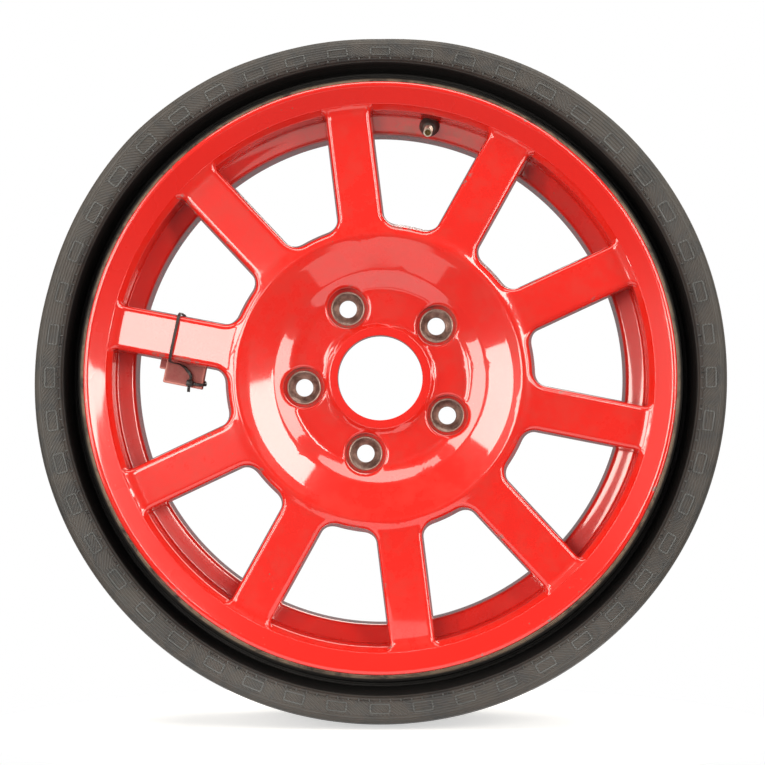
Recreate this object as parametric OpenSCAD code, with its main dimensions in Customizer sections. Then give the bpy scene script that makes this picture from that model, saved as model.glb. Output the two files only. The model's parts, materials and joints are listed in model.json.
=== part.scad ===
// Collapsible space-saver spare wheel: a cast light-alloy wheel with its folded
// tyre, snap-in valve, and a tag held to one spoke by a cable tie.
// Axis of the wheel along Y, outer face towards -Y, +Z up.
// The origin is the centre of the hub mounting face.

/* [Rim] */
// Diameter of the bead seats
bead_seat_d = 462; // [380:1:560]
// Width between the two flanges
rim_width = 165.1; // [135:0.1:200]
// Offset of the rim's centre plane behind the mounting face
rim_offset = 53; // [40:1:65]
// Height of the flanges above the bead seat
flange_h = 17.5; // [16:0.1:19]
// Width of the lip in front of each flange face
lip_w = 12.5; // [11:0.1:15]
// Depth of the drop centre below the bead seat
well_depth = 17.3; // [15:0.1:22]
// Wall of the barrel at the drop centre
wall_t = 4.7; // [4:0.1:7]

/* [Hub] */
// Diameter of the centre bore
bore_d = 71.6; // [55:0.1:86]
// Diameter of the bolt circle
bolt_circle_d = 130; // [118:1:140]
// Number of wheel bolts
bolt_count = 5; // [4:1:5]
// Diameter of the bolt holes
bolt_hole_d = 15; // [12:0.1:18]
// Clock angle of the first bolt hole
bolt_clock = 47; // [0:1:71]
// Diameter of the bare metal bolt seats
seat_ring_d = 29; // [25:0.1:31]
// Radius of the ball seats
ball_r = 14; // [12:0.1:17]
// Thickness of the hub pad
pad_t = 20; // [17:0.5:24]
// Diameter of the flat pad
pad_d = 160; // [156:1:175]
// Height of the ridge round the bowl, in front of the mounting face
ridge_h = 44; // [38:0.5:50]
// Distance of the ridge's crest inside the bowl's edge
ridge_in = 7.5; // [6:0.5:12]
// Outer diameter of the bowl at its front edge
bowl_d = 255; // [240:1:285]

/* [Spokes] */
// Number of spokes
spoke_count = 10; // [7:1:10]
// Width of one spoke at its back
spoke_w = 40; // [28:0.5:48]
// Taper of each side from back to front
spoke_draft = 1.4; // [0.5:0.1:3]
// Bevel along the front edges
spoke_bevel = 4; // [2:0.1:6]
// Clock angle of the first spoke
spoke_clock = -7; // [-18:1:18]
// Radius in the corners between the spokes and the hub
corner_r = 14; // [8:0.5:16]

/* [Tyre] */
// Height of the folded tyre above the bead seat
tyre_h = 64; // [60:0.5:110]
// Depth of the fold behind the flange
fold_depth = 42; // [30:1:52]
// Thickness of the sidewall rubber
sidewall_t = 3; // [2:0.1:4]
// Thickness of one carcass ply
ply_t = 1.2; // [0.8:0.1:1.4]
// Number of grooves round the tread
groove_count = 4; // [2:1:5]
// Width of one groove
groove_w = 6; // [3:0.5:9]
// Depth of one groove
groove_depth = 5; // [3:0.5:6]

/* [Valve] */
// Clock angle of the valve
valve_clock = 11; // [8:1:14]
// Diameter of the valve hole
valve_hole_d = 11.5; // [11:0.1:12.5]
// Diameter of the threaded tip
valve_tip_d = 7.7; // [7.4:0.1:8.4]
// Length of the valve in front of the rim
valve_len = 22; // [20:0.5:32]
// Travel of the valve pin
pin_travel = 1.2; // [0.8:0.1:1.4]
// Radial clearance round the valve pin
pin_gap = 0.08; // [0.04:0.01:0.1]

/* [Tag and tie] */
// Length of the tag along its spoke
tag_len = 34; // [26:0.5:36]
// Thickness of the tag
tag_t = 12; // [8:0.5:12]
// Width of the cable tie
tie_w = 2.5; // [2:0.1:3.2]
// Thickness of the cable tie
tie_t = 1.1; // [0.9:0.1:1.3]

/* [Hidden] */
$fn = 96;
FINE = 48;
ARC = 5;               // chords in one rounded corner
EPS = 0.01;
TOO_BIG = 400;

spoke_names = [for (i = [1:spoke_count]) str("spoke_", i < 10 ? "0" : "", i)];

red = [0.86, 0.10, 0.06];
tyre_black = [0.13, 0.13, 0.12];
cord_tan = [0.55, 0.42, 0.28];
steel = [0.62, 0.60, 0.58];
brass = [0.72, 0.62, 0.38];

seat_r = bead_seat_d / 2;
front_y = rim_offset - rim_width / 2;    // front flange face
bowl_r = bowl_d / 2;
pad_r = pad_d / 2;
ridge_r = bowl_r - ridge_in;

// ---- Rounded outlines. A corner is [height, depth, radius]. ----
function unit(v) = v / norm(v);
function flat(p) = [p.x, p.y];
function wrapped(a) = a > 180 ? a - 360 : a < -180 ? a + 360 : a;
function corner(a, b, c, r) =
    let (u = unit(a - b), w = unit(c - b), half = acos(u * w) / 2,
         centre = b + unit(u + w) * r / sin(half),
         first = b + u * r / tan(half) - centre,
         last = b + w * r / tan(half) - centre,
         start = atan2(first.y, first.x),
         sweep = wrapped(atan2(last.y, last.x) - start))
    [for (i = [0:ARC]) centre + r * [cos(start + sweep * i / ARC), sin(start + sweep * i / ARC)]];
function rounded(path) =
    let (last = len(path) - 1)
    [for (i = [0:last])
        each (i == 0 || i == last || path[i].z == 0)
            ? [flat(path[i])]
            : corner(flat(path[i - 1]), flat(path[i]), flat(path[i + 1]), path[i].z)];
function reversed(list) = [for (i = [len(list) - 1:-1:0]) list[i]];
// The same outline at the other flange
function rear(list) = [for (p = list) [p.x, rim_width - p.y]];
function both(list) = concat(list, reversed(rear(list)));

// A solid of revolution round the wheel's axis, from [radius, y] points
module spun(points) rotate([-90, 0, 0]) rotate_extrude() polygon(points);
// The same, from [height above the bead seat, depth behind the front flange face]
module spun_rim(points) spun([for (p = points) [seat_r + p.x, front_y + p.y]]);
module at_clock(angle) rotate([0, angle, 0]) children();

// ---- Barrel outline ----
crease = [-0.4, -4, 0];                  // where the lip's slope ends
wall_start = [-5, 2.5, 3];
wall_end = [-6.5, 23, 2.5];
shelf_end = [-well_depth - wall_t, 29.5, 5];
shelf_slope = atan2(shelf_end.y - wall_end.y, wall_end.x - shelf_end.x);
lip_crest = [flange_h - 4, -lip_w, 3];
seat_drop = 1.8;
seat_w = 20.5;
bead_corner = [0, 0, 5];
seat_end = [-seat_drop, seat_w, 0];
flange_side = [
    [flange_h, -lip_w, 3.3],
    [flange_h, -lip_w + 3.5, 3],
    [flange_h - 4, 0, 9],
    bead_corner,
    seat_end,
    [0.2, seat_w + 4, 4]];
well_far = 62;                           // depth where the drop centre's floor ends
rear_wall_h = -8;                        // inner face behind the drop centre

barrel_inner_front = [crease, wall_start, wall_end, shelf_end];
barrel_path = concat(
    [lip_crest],
    flange_side,
    [[-1.5, 29.5, 2.5], [-well_depth, 36.1, 5], [-well_depth, well_far, 8],
     [-seat_drop - 1.5, rim_width - 62, 8]],
    [for (p = reversed(flange_side)) [p.x, rim_width - p.y, p.z]],
    [[flange_h - 5, rim_width + lip_w, 3], [-1, rim_width + 3.5, 5],
     [rear_wall_h, rim_width - 8, 6], [rear_wall_h, rim_width - 58, 8],
     [-well_depth - wall_t, well_far + 1.5, 8]],
    reversed(barrel_inner_front),
    [lip_crest]);

// The lip's crest is rounded too, so the closed outline starts beside it
function closed_round(path) =
    let (n = len(path))
    rounded(concat([path[n - 2]], path, [path[1]]));
function inner_points(list) = [for (i = [1:len(list) - 2]) list[i]];
barrel_points = inner_points(closed_round([for (i = [0:len(barrel_path) - 2]) barrel_path[i]]));

// ---- Valve place ----
valve_h = -11.5;                         // height of its centre on the shelf
valve_depth = wall_end.y + (wall_end.x - valve_h) * tan(shelf_slope);
valve_wall = 4;                          // wall left between the two spot faces
spot_r = 9.3;
module at_valve()
    at_clock(valve_clock)
    translate([0, front_y + valve_depth, seat_r + valve_h])
    rotate([90 + shelf_slope, 0, 0])
    children();

module rim_barrel() color(red)
    difference() {
        spun_rim(barrel_points);
        at_valve() cylinder(r = valve_hole_d / 2, h = 40, center = true, $fn = FINE);
        at_valve() cylinder(r = spot_r, h = 12, $fn = FINE);
        at_valve() translate([0, 0, -valve_wall - 14]) cylinder(r = spot_r + 1.2, h = 14, $fn = FINE);
    }

// ---- Hub ----
bore_r = bore_d / 2;
bore_lip_h = 4;                          // raised lip round the bore
pad_rise = 3.5;                          // rise of the pad's front at its rim
seat_ring_t = 12.6;
ball_mouth_r = seat_ring_d / 2 - 1.5;    // mouth of the ball seat
ball_y = -seat_ring_t - sqrt(ball_r * ball_r - ball_mouth_r * ball_mouth_r);
bolt_r = bolt_circle_d / 2;
bolt_step = 360 / bolt_count;
pocket_r = seat_ring_d / 2 + 2.5;
pad_pocket_r = 11;                       // lightening pockets in the mounting face
pad_pocket_depth = 8;

module at_bolts()
    for (i = [0:bolt_count - 1])
        at_clock(bolt_clock + i * bolt_step) translate([0, 0, bolt_r]) children();
// A round tool along Y from y0 to y1
module drill(r, y0, y1)
    translate([0, y0, 0]) rotate([-90, 0, 0]) cylinder(r = r, h = y1 - y0, $fn = FINE);

pad_points = rounded([
    [pad_r, 0, 0], [bore_r + 2, 0, 0], [bore_r, -2, 0],
    [bore_r, -pad_t - bore_lip_h, 0], [bore_r + 1.5, -pad_t - bore_lip_h, 0],
    [bore_r + 7, -pad_t - bore_lip_h, 2], [bore_r + 11, -pad_t, 6],
    [pad_r - 5, -pad_t, 8], [pad_r, -pad_t - pad_rise, 0]]);
module hub_pad() color(red)
    difference() {
        spun(pad_points);
        at_bolts() drill(seat_ring_d / 2, -seat_ring_t - EPS, EPS);
        at_bolts() drill(pocket_r, -TOO_BIG, -seat_ring_t);
        at_clock(bolt_step / 2) at_bolts() drill(pad_pocket_r, -pad_pocket_depth, EPS);
    }

spoke_back_hub = 14;                     // back of the spokes, in front of the mounting face
spoke_back_rim = 9.5;
spoke_front_drop = 2.5;                  // how far the bowl's edge lies below the ridge
bowl_wall = [[bowl_r, -ridge_h + spoke_front_drop, 2.5], [bowl_r + 3.5, -spoke_back_hub, 0]];
bowl_points = rounded([
    [pad_r, -pad_t - pad_rise, 0], [pad_r + 9, -pad_t - pad_rise - 7, 12],
    [ridge_r - 9, -ridge_h + 3.2, 12], [ridge_r, -ridge_h, 10],
    bowl_wall[0], bowl_wall[1],
    [pad_r + 14, -6, 10], [pad_r, -2, 0]]);
window_step = 360 / spoke_count;
bowl_pocket_r = 9;                       // lightening pockets behind the bowl
bowl_pocket_y = -24;                     // where they end
bowl_pocket_mid = (pad_r + bowl_r) / 2 + 3;
module hub_bowl() color(red)
    difference() {
        spun(bowl_points);
        for (i = [0:spoke_count - 1])
            at_clock(spoke_clock + (i + 0.5) * window_step)
                translate([0, 0, bowl_pocket_mid]) drill(bowl_pocket_r, bowl_pocket_y, TOO_BIG);
    }

// ---- Spokes ----
spoke_front_rim = 30;                    // front of the spokes at the rim
rim_reach = seat_r + crease.x;
function rim_point(p) = [seat_r + p.x, front_y + p.y];
spoke_outer = [
    for (p = rounded([lip_crest, crease, wall_start, wall_end, shelf_end, [shelf_end.x, well_far, 0]]))
        rim_point(p)];
spoke_end_r = lookup(-spoke_back_rim, [for (p = spoke_outer) [p.y, p.x]]);
spoke_inner = reversed(rounded([[ridge_r, -ridge_h, 0], bowl_wall[0], bowl_wall[1]]));
spoke_zone = concat(
    [flat(bowl_wall[1])],
    [for (p = spoke_inner) if (p.x > bowl_r - 1) p],
    [for (p = spoke_outer) if (p.y > -spoke_front_rim && p.y < -spoke_back_rim) p],
    [[spoke_end_r, -spoke_back_rim]]);
front_slope = atan2(ridge_h - spoke_front_drop - spoke_front_rim, rim_reach - bowl_r);
half_front = spoke_w / 2 - spoke_draft;
front_y_hub = -ridge_h + spoke_front_drop;

module spoke_bar()
    translate([0, front_y_hub, bowl_r]) rotate([-front_slope, 0, 0])
    translate([0, 0, -20]) linear_extrude(height = TOO_BIG / 2 + rim_reach - bowl_r)
    polygon([
        [-spoke_w / 2, 60], [spoke_w / 2, 60],
        [half_front, spoke_bevel], [half_front - spoke_bevel - 3, -3],
        [-half_front + spoke_bevel + 3, -3], [-half_front, spoke_bevel]]);

// The widened foot that rounds the corners with the hub
flare_x = half_front + corner_r;
flare_z = sqrt(pow(bowl_r + 1 + corner_r, 2) - pow(flare_x, 2));
module spoke_foot()
    rotate([90, 0, 0]) translate([0, 0, -TOO_BIG / 4])
    linear_extrude(height = TOO_BIG / 2)
    difference() {
        polygon([[-flare_x, bowl_r * 0.8], [flare_x, bowl_r * 0.8],
                 [flare_x, flare_z], [-flare_x, flare_z]]);
        for (side = [-1, 1])
            translate([side * flare_x, flare_z]) circle(r = corner_r);
    }

module spoke(i) color(red)
    at_clock(spoke_clock + i * window_step)
    intersection() {
        spun(spoke_zone);
        union() {
            spoke_bar();
            spoke_foot();
        }
    }

module bolt_seats() color(steel)
    at_bolts() difference() {
        drill(seat_ring_d / 2, -seat_ring_t, 0);
        drill(bolt_hole_d / 2, -TOO_BIG, TOO_BIG);
        translate([0, ball_y, 0]) sphere(r = ball_r, $fn = FINE);
    }

// ---- Tyre: every layer follows one carcass line, offset to its own depth ----
tread_t = 10;                            // tread rubber and plies outside the carcass line
crown_h = tyre_h - tread_t;              // carcass line under the tread
bead_d = 6.5;                            // carcass line's depth at the bead
line = [
    [13, bead_d, 0], [20, bead_d, 6.3], [24, fold_depth, 5], [35, fold_depth, 5],
    [39.5, 2.5, 6], [crown_h, 2.5, 9], [crown_h, rim_width / 2, 0]];
function normal(a, b) = let (u = unit(flat(b) - flat(a))) [u.y, -u.x];
function turn(a, b, c) = sign(cross(flat(b) - flat(a), flat(c) - flat(b)));
// The carcass line moved outwards by t, its corner radii following
function shifted(path, t) =
    let (last = len(path) - 1)
    [for (i = [0:last])
        let (m = i == 0 ? normal(path[0], path[1]) : normal(path[i - 1], path[i]),
             n = i == last ? m : normal(path[i], path[i + 1]),
             move = (m + n) * t / (1 + m * n),
             bend = i == 0 || i == last ? 0 : turn(path[i - 1], path[i], path[i + 1]))
        [path[i].x + move.x, path[i].y + move.y, path[i].z == 0 ? 0 : path[i].z + bend * t]];
function layer_line(t) = rounded(shifted(line, t));

inner_ply_out = -0.2;
inner_ply_in = inner_ply_out - ply_t;
liner_in = inner_ply_in - 1.2;
outer_ply_out = inner_ply_out + ply_t;
sidewall_out = outer_ply_out + sidewall_t;
ring_end_h = crown_h - 9;                // where the sidewall meets the tread
chafer_top = 9;
chafer_in = 2.3;
core_bottom = chafer_in + ply_t;
core_out = chafer_in + ply_t;
core_in = core_out + 5;

// A half layer: its foot at the bead, then the carcass line to the crown
function half_layer(foot, t) = concat(foot, layer_line(t));
module full_layer(foot_in, t_in, foot_out, t_out)
    spun_rim(concat(both(half_layer(foot_in, t_in)), reversed(both(half_layer(foot_out, t_out)))));

liner_foot = [[chafer_in, core_in + ply_t + 1.2], [chafer_top, core_in + ply_t + 1.2]];
ply_in_foot = [[chafer_in, core_in + ply_t], [chafer_top, core_in + ply_t]];
ply_mid_foot = [[core_bottom, chafer_in], [core_bottom, core_in], [chafer_top, core_in]];
outer_in_foot = [[core_bottom, core_out], [chafer_top, core_out]];
outer_out_foot = [[core_bottom, chafer_in], [chafer_top, chafer_in]];

module inner_liner() color(tyre_black) full_layer(liner_foot, liner_in, ply_in_foot, inner_ply_in);
module carcass_inner_ply() color(cord_tan)
    full_layer(concat([[chafer_in, chafer_in]], ply_in_foot), inner_ply_in,
               ply_mid_foot, inner_ply_out);
module carcass_outer_ply() color(cord_tan)
    full_layer(outer_in_foot, inner_ply_out, outer_out_foot, outer_ply_out);

function up_to_ring(list) =
    [for (p = list) if (!(p.x > ring_end_h && p.y < 10) && p.x <= crown_h - 4) p];
function sidewall_points() =
    concat([[chafer_top, chafer_in]], up_to_ring(layer_line(outer_ply_out)),
           [[ring_end_h, 2.5 - outer_ply_out], [ring_end_h, 2.5 - sidewall_out]],
           reversed(up_to_ring(layer_line(sidewall_out))), [[chafer_top, 0]]);
module sidewall_front() color(tyre_black) spun_rim(sidewall_points());
module sidewall_rear() color(tyre_black) spun_rim(rear(sidewall_points()));

toe_depth = 15;
chafer_points = concat(
    rounded([[chafer_top, 0, 0], bead_corner, [-seat_drop * toe_depth / seat_w, toe_depth, 0]]),
    [liner_foot[0], [chafer_in, chafer_in], [chafer_top, chafer_in]]);
module chafer_front() color(tyre_black) spun_rim(chafer_points);
module chafer_rear() color(tyre_black) spun_rim(rear(chafer_points));

core_points = [
    [core_bottom, core_out], [core_bottom, core_in],
    [chafer_top, core_in], [chafer_top, core_out]];
module bead_core_front() color(steel) spun_rim(core_points);
module bead_core_rear() color(steel) spun_rim(rear(core_points));

filler_points = [[chafer_top, core_out], [13, bead_d - inner_ply_out], [chafer_top, core_in]];
module bead_filler_front() color(tyre_black) spun_rim(filler_points);
module bead_filler_rear() color(tyre_black) spun_rim(rear(filler_points));

breaker_start = 14;                      // depth where the breaker and full tread begin
breaker_half = [[crown_h + outer_ply_out, breaker_start], [crown_h + outer_ply_out, rim_width / 2]];
breaker_half_out = [for (p = breaker_half) [p.x + ply_t, p.y]];
module breaker_ply() color(cord_tan)
    spun_rim(concat(both(breaker_half), reversed(both(breaker_half_out))));

crown_drop = 1.2;                        // the tread's edges lie this much lower
tread_edge_h = tyre_h - crown_drop;
function groove_at(i) = rim_width / 2 + (i - (groove_count - 1) / 2) * rim_width * 0.17;
function crown_at(d) = tyre_h - crown_drop * pow(abs(d - rim_width / 2) / (rim_width / 2 - 10), 2);
tread_shoulder = rounded([
    [ring_end_h, 2.5 - sidewall_out, 0], [tread_edge_h, 2.5 - sidewall_out, 7],
    [tread_edge_h, 12, 0]]);
tread_outer = concat(
    tread_shoulder,
    [for (i = [0:groove_count - 1], k = [0:3])
        let (d = groove_at(i) + (k < 2 ? -groove_w / 2 : groove_w / 2))
        [crown_at(groove_at(i)) - (k == 1 || k == 2 ? groove_depth : 0), d]],
    reversed(rear(tread_shoulder)));
function shoulder_line(t) = [for (p = layer_line(t)) if (p.x >= ring_end_h && p.y < breaker_start) p];
tread_inner = concat([[ring_end_h, 2.5 - outer_ply_out]], shoulder_line(outer_ply_out),
                     [breaker_half[0], breaker_half_out[0]]);
module tread() color(tyre_black) spun_rim(concat(both(tread_inner), reversed(tread_outer)));

// ---- Valve, along its own axis: z = 0 is the spot face, +z leads to the tip ----
stem_r = valve_tip_d / 2;
stem_core_r = 2.65;                      // thread for the core plug
stem_seat_r = 2.2;
rubber_end = 10;
plug_bottom = valve_len - 5.5;
gasket_bottom = valve_len - 14;
gasket_t = 2.6;
stem_body_r = 3.6;                       // the stem's body, inside the rubber
seat_depth = 5;                          // room for the pin's seal below the gasket
pin_r = 0.6;
collar_r = 1.3;
collar_t = 0.5;
stop_gap = 0.1;                          // left at each stop while the pin rests
// A ring about the valve's own axis
module turned(points) rotate_extrude($fn = FINE) polygon(points);

module valve_body() color(tyre_black)
    at_valve() turned([
        [stem_body_r, -11.5], [7.5, -11.5], [9.3, -9.5], [9.3, -valve_wall],
        [valve_hole_d / 2, -valve_wall], [valve_hole_d / 2, 0], [8.6, 0], [8.6, 1.6], [6.6, 7],
        [stem_r + 1, rubber_end], [stem_body_r, rubber_end]]);
module valve_stem() color(brass)
    at_valve() turned([
        [1.5, -11.5], [stem_body_r, -11.5], [stem_body_r, rubber_end], [stem_r, rubber_end],
        [stem_r, valve_len - 0.6], [stem_r - 0.6, valve_len], [stem_core_r, valve_len],
        [stem_core_r, gasket_bottom + 2], [stem_seat_r, gasket_bottom + 1.4],
        [stem_seat_r, gasket_bottom - seat_depth], [1.5, gasket_bottom - seat_depth - 1.5]]);
module core_plug() color(brass)
    at_valve() turned([
        [pin_r + pin_gap, plug_bottom], [stem_core_r, plug_bottom], [stem_core_r, valve_len - 1.5],
        [1.3, valve_len - 1.5], [1.3, valve_len - 3.2], [pin_r + pin_gap, valve_len - 3.2]]);
module core_gasket() color(tyre_black)
    at_valve() turned([
        [1.1, gasket_bottom], [stem_seat_r, gasket_bottom], [stem_seat_r, gasket_bottom + 1.4],
        [stem_core_r, gasket_bottom + 2], [stem_core_r, gasket_bottom + gasket_t],
        [1.1, gasket_bottom + gasket_t]]);
pin_head_bottom = gasket_bottom - 1.6;
collar_top = plug_bottom - stop_gap;
module valve_pin() color(brass)
    at_valve() turned([
        [0, pin_head_bottom - 2], [pin_r, pin_head_bottom - 2], [pin_r, pin_head_bottom],
        [1.8, pin_head_bottom], [1.8, gasket_bottom - 0.4], [1.4, gasket_bottom - stop_gap],
        [pin_r, gasket_bottom - stop_gap], [pin_r, collar_top - collar_t],
        [collar_r, collar_top - collar_t], [collar_r, collar_top], [pin_r, collar_top],
        [pin_r, valve_len - 0.5], [0, valve_len - 0.5]]);

// The spring's coil, as short as it is with the pin pressed
spring_r = 1.35;
wire_r = 0.17;
spring_base = gasket_bottom + gasket_t;
spring_len = collar_top - collar_t - pin_travel - stop_gap - spring_base;
spring_turns = 5;
SPRING_STEPS = 14 * spring_turns;
WIRE_SIDES = 6;
function coil_point(s, k) =
    let (angle = 360 * spring_turns * s / SPRING_STEPS, side = 360 * k / WIRE_SIDES,
         r = spring_r + wire_r * cos(side))
    [r * cos(angle), r * sin(angle), spring_base + wire_r + (spring_len - 2 * wire_r) * s / SPRING_STEPS
        + wire_r * sin(side)];
module core_spring() color(steel)
    at_valve() swept([for (s = [0:SPRING_STEPS]) [for (k = [0:WIRE_SIDES - 1]) coil_point(s, k)]]);

// A closed skin over rings of points, each ring with the same number of points
module swept(rings) {
    sides = len(rings[0]);
    last = len(rings) - 1;
    polyhedron(
        points = [for (ring = rings) each ring],
        faces = concat(
            [[for (k = [0:sides - 1]) k]],
            [for (s = [0:last - 1], k = [0:sides - 1])
                let (a = s * sides + k, b = s * sides + (k + 1) % sides)
                [b, a, a + sides, b + sides]],
            [[for (k = [sides - 1:-1:0]) last * sides + k]]));
}

// ---- Tag and tie on the spoke nearest nine o'clock: x across it, z along it ----
tag_spoke = 8;
tag_front = -spoke_back_rim;             // the tag lies behind the spoke
tag_below = 18.3;                        // how far it shows beside the spoke
tag_w = 40;
tag_mid = bowl_r + 36.5;
tag_z = tag_mid - tag_len / 2;
tag_x = -spoke_w / 2 - tag_below;
tab_len = 5;
tab_in = 11;                             // how far the tab starts in from the tag's edge
notch = 3;
module at_tag() at_clock(spoke_clock + tag_spoke * window_step) children();
module tag_block() color([0.62, 0.33, 0.30])
    at_tag() difference() {
        union() {
            translate([tag_x, tag_front, tag_z]) cube([tag_w, tag_t, tag_len]);
            translate([tag_x + tab_in, tag_front, tag_z + tag_len])
                cube([tag_w - tab_in, tag_t / 2, tab_len]);
        }
        translate([tag_x - 1, tag_front - 1, tag_z - 1]) cube([notch, tag_t / 2, notch]);
    }

tie_gap = 0.4;                           // between the strap and what it holds
lift = tie_t / 2 + tie_gap;              // from a surface to the strap's middle
tie_z = tag_mid + 11.4;                  // where it crosses the spoke's face
head_z = tag_mid - 6;
head_x = tag_x + 3.3;
tie_front = front_y_hub + (tie_z - bowl_r) * tan(front_slope) - lift - 0.6;
tie_side = half_front + lift + 0.8;
tie_face = tag_front - lift - 1.5;       // over the tag's front
tie_back = tag_front + tag_t + lift + 0.6;   // behind the tag
hub_end = tag_z - lift;
slot_w = tie_w + 1.2;                    // the head's slot
head_size = [5.2, 4.6, 5.6];
tie_route = [
    [head_x, tie_face, head_z - 2.9], [head_x + 0.2, tie_face, tag_z + 2],
    [head_x + 1, tie_face + 1.5, hub_end - 0.5],
    [head_x + 2, tie_back - 1.6, hub_end - 0.6], [head_x + 3, tie_back + 0.3, tag_z - 0.6],
    [head_x + 5, tie_back, tag_z + 2],
    [tag_x + tag_w / 2, tie_back, tag_mid - 11], [tag_x + tag_w + 3, tie_back, tag_mid],
    [tag_x + tag_w + 11, tag_front + 6, tag_mid + 5], [tie_side, tag_front - 1, tie_z - 2],
    [tie_side + 0.7, tag_front - 4, tie_z - 1], [tie_side, tie_front + 5.6, tie_z],
    [half_front - 2.6, tie_front, tie_z], [2.6 - half_front, tie_front, tie_z + 0.4],
    [-tie_side, tie_front + 5.6, tie_z + 0.2], [-tie_side - 0.9, tag_front - 6, tag_mid + 3.5],
    [-tie_side - 3.6, tie_face, tag_mid - 1], [head_x + 6, tie_face, head_z + 0.1],
    [head_x + 3, tie_face, head_z], [head_x - 4, tie_face, head_z],
    [head_x - 7.4, tie_face + 0.8, head_z - 0.4]];
function heading(i) =
    let (a = tie_route[max(i - 1, 0)], b = tie_route[min(i + 1, len(tie_route) - 1)]) unit(b - a);
// Which way the strap's outer face looks at each point
to_front = [0, -1, 0];
to_back = [0, 1, 0];
to_hub = [0, 0, -1];
to_side = [1, 0, 0];
tie_out = [
    to_front, to_front, to_hub, to_hub, to_back + 0.6 * to_hub, to_back, to_back, to_back,
    to_back + 0.75 * to_side, to_back + 1.15 * to_side, to_side, to_side,
    to_front, to_front, -to_side, -to_side,
    to_front - 0.6 * to_side, to_front, to_front, to_front, to_front];
function width_at(i) = unit(cross(heading(i), tie_out[i]));
module tie_strap() color([0.08, 0.07, 0.07])
    at_tag() swept([for (i = [0:len(tie_route) - 1])
        let (w = width_at(i) * tie_w / 2, t = cross(heading(i), width_at(i)) * tie_t / 2)
        [tie_route[i] - w - t, tie_route[i] + w - t, tie_route[i] + w + t, tie_route[i] - w + t]]);
module tie_head() color([0.08, 0.07, 0.07])
    at_tag() translate([head_x, tie_face, head_z]) difference() {
        cube(head_size, center = true);
        cube([2 * head_size.x, 2 * lift, slot_w], center = true);
    }

rim_barrel();
hub_pad();
hub_bowl();
for (i = [0:spoke_count - 1]) spoke(i);
bolt_seats();
tread();
breaker_ply();
carcass_outer_ply();
carcass_inner_ply();
inner_liner();
sidewall_front();
sidewall_rear();
chafer_front();
chafer_rear();
bead_core_front();
bead_core_rear();
bead_filler_front();
bead_filler_rear();
valve_body();
valve_stem();
core_plug();
core_gasket();
core_spring();
valve_pin();
tie_strap();
tie_head();
tag_block();
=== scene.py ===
"""Looks of a collapsible spare wheel: painted casting, folded tyre, valve, tag and tie."""

import json
import logging
import math
from collections.abc import Callable, Iterable, Sequence
from dataclasses import dataclass, field
from enum import Enum

import bmesh
import bpy
import numpy as np
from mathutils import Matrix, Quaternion, Vector

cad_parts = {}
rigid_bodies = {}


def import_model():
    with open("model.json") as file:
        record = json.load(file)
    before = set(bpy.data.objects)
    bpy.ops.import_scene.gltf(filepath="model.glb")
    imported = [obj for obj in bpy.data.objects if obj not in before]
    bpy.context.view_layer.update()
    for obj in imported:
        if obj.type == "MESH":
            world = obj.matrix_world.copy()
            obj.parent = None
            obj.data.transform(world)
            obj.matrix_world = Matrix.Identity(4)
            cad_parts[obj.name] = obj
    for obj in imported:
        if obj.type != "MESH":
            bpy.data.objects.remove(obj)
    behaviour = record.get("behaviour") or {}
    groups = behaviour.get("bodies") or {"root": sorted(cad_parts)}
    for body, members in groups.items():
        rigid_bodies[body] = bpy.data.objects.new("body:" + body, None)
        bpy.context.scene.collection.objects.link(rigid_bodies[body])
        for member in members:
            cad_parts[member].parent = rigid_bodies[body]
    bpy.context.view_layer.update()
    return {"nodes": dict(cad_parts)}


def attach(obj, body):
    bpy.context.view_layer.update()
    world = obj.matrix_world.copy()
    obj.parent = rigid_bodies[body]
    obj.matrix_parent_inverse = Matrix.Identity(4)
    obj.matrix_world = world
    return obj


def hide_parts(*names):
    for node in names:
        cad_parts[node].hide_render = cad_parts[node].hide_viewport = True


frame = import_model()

log = logging.getLogger("spare_wheel")

MM = 0.001
BODY = "wheel"
PIN_BODY = "pin"
Rgb = tuple[float, float, float]
Corner = tuple[float, float, float]
Plan = np.ndarray


# ---------------------------------------------------------------- shader graphs


def tone(red: int, green: int, blue: int) -> Rgb:
    """A colour given as display values.

    Args:
        red: from 0 to 255.
        green: the same.
        blue: the same.

    Returns:
        The colour in linear light.
    """
    return tuple(
        c / 12.92 if c <= 0.04045 else ((c + 0.055) / 1.055) ** 2.4
        for c in (red / 255, green / 255, blue / 255)
    )


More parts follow.
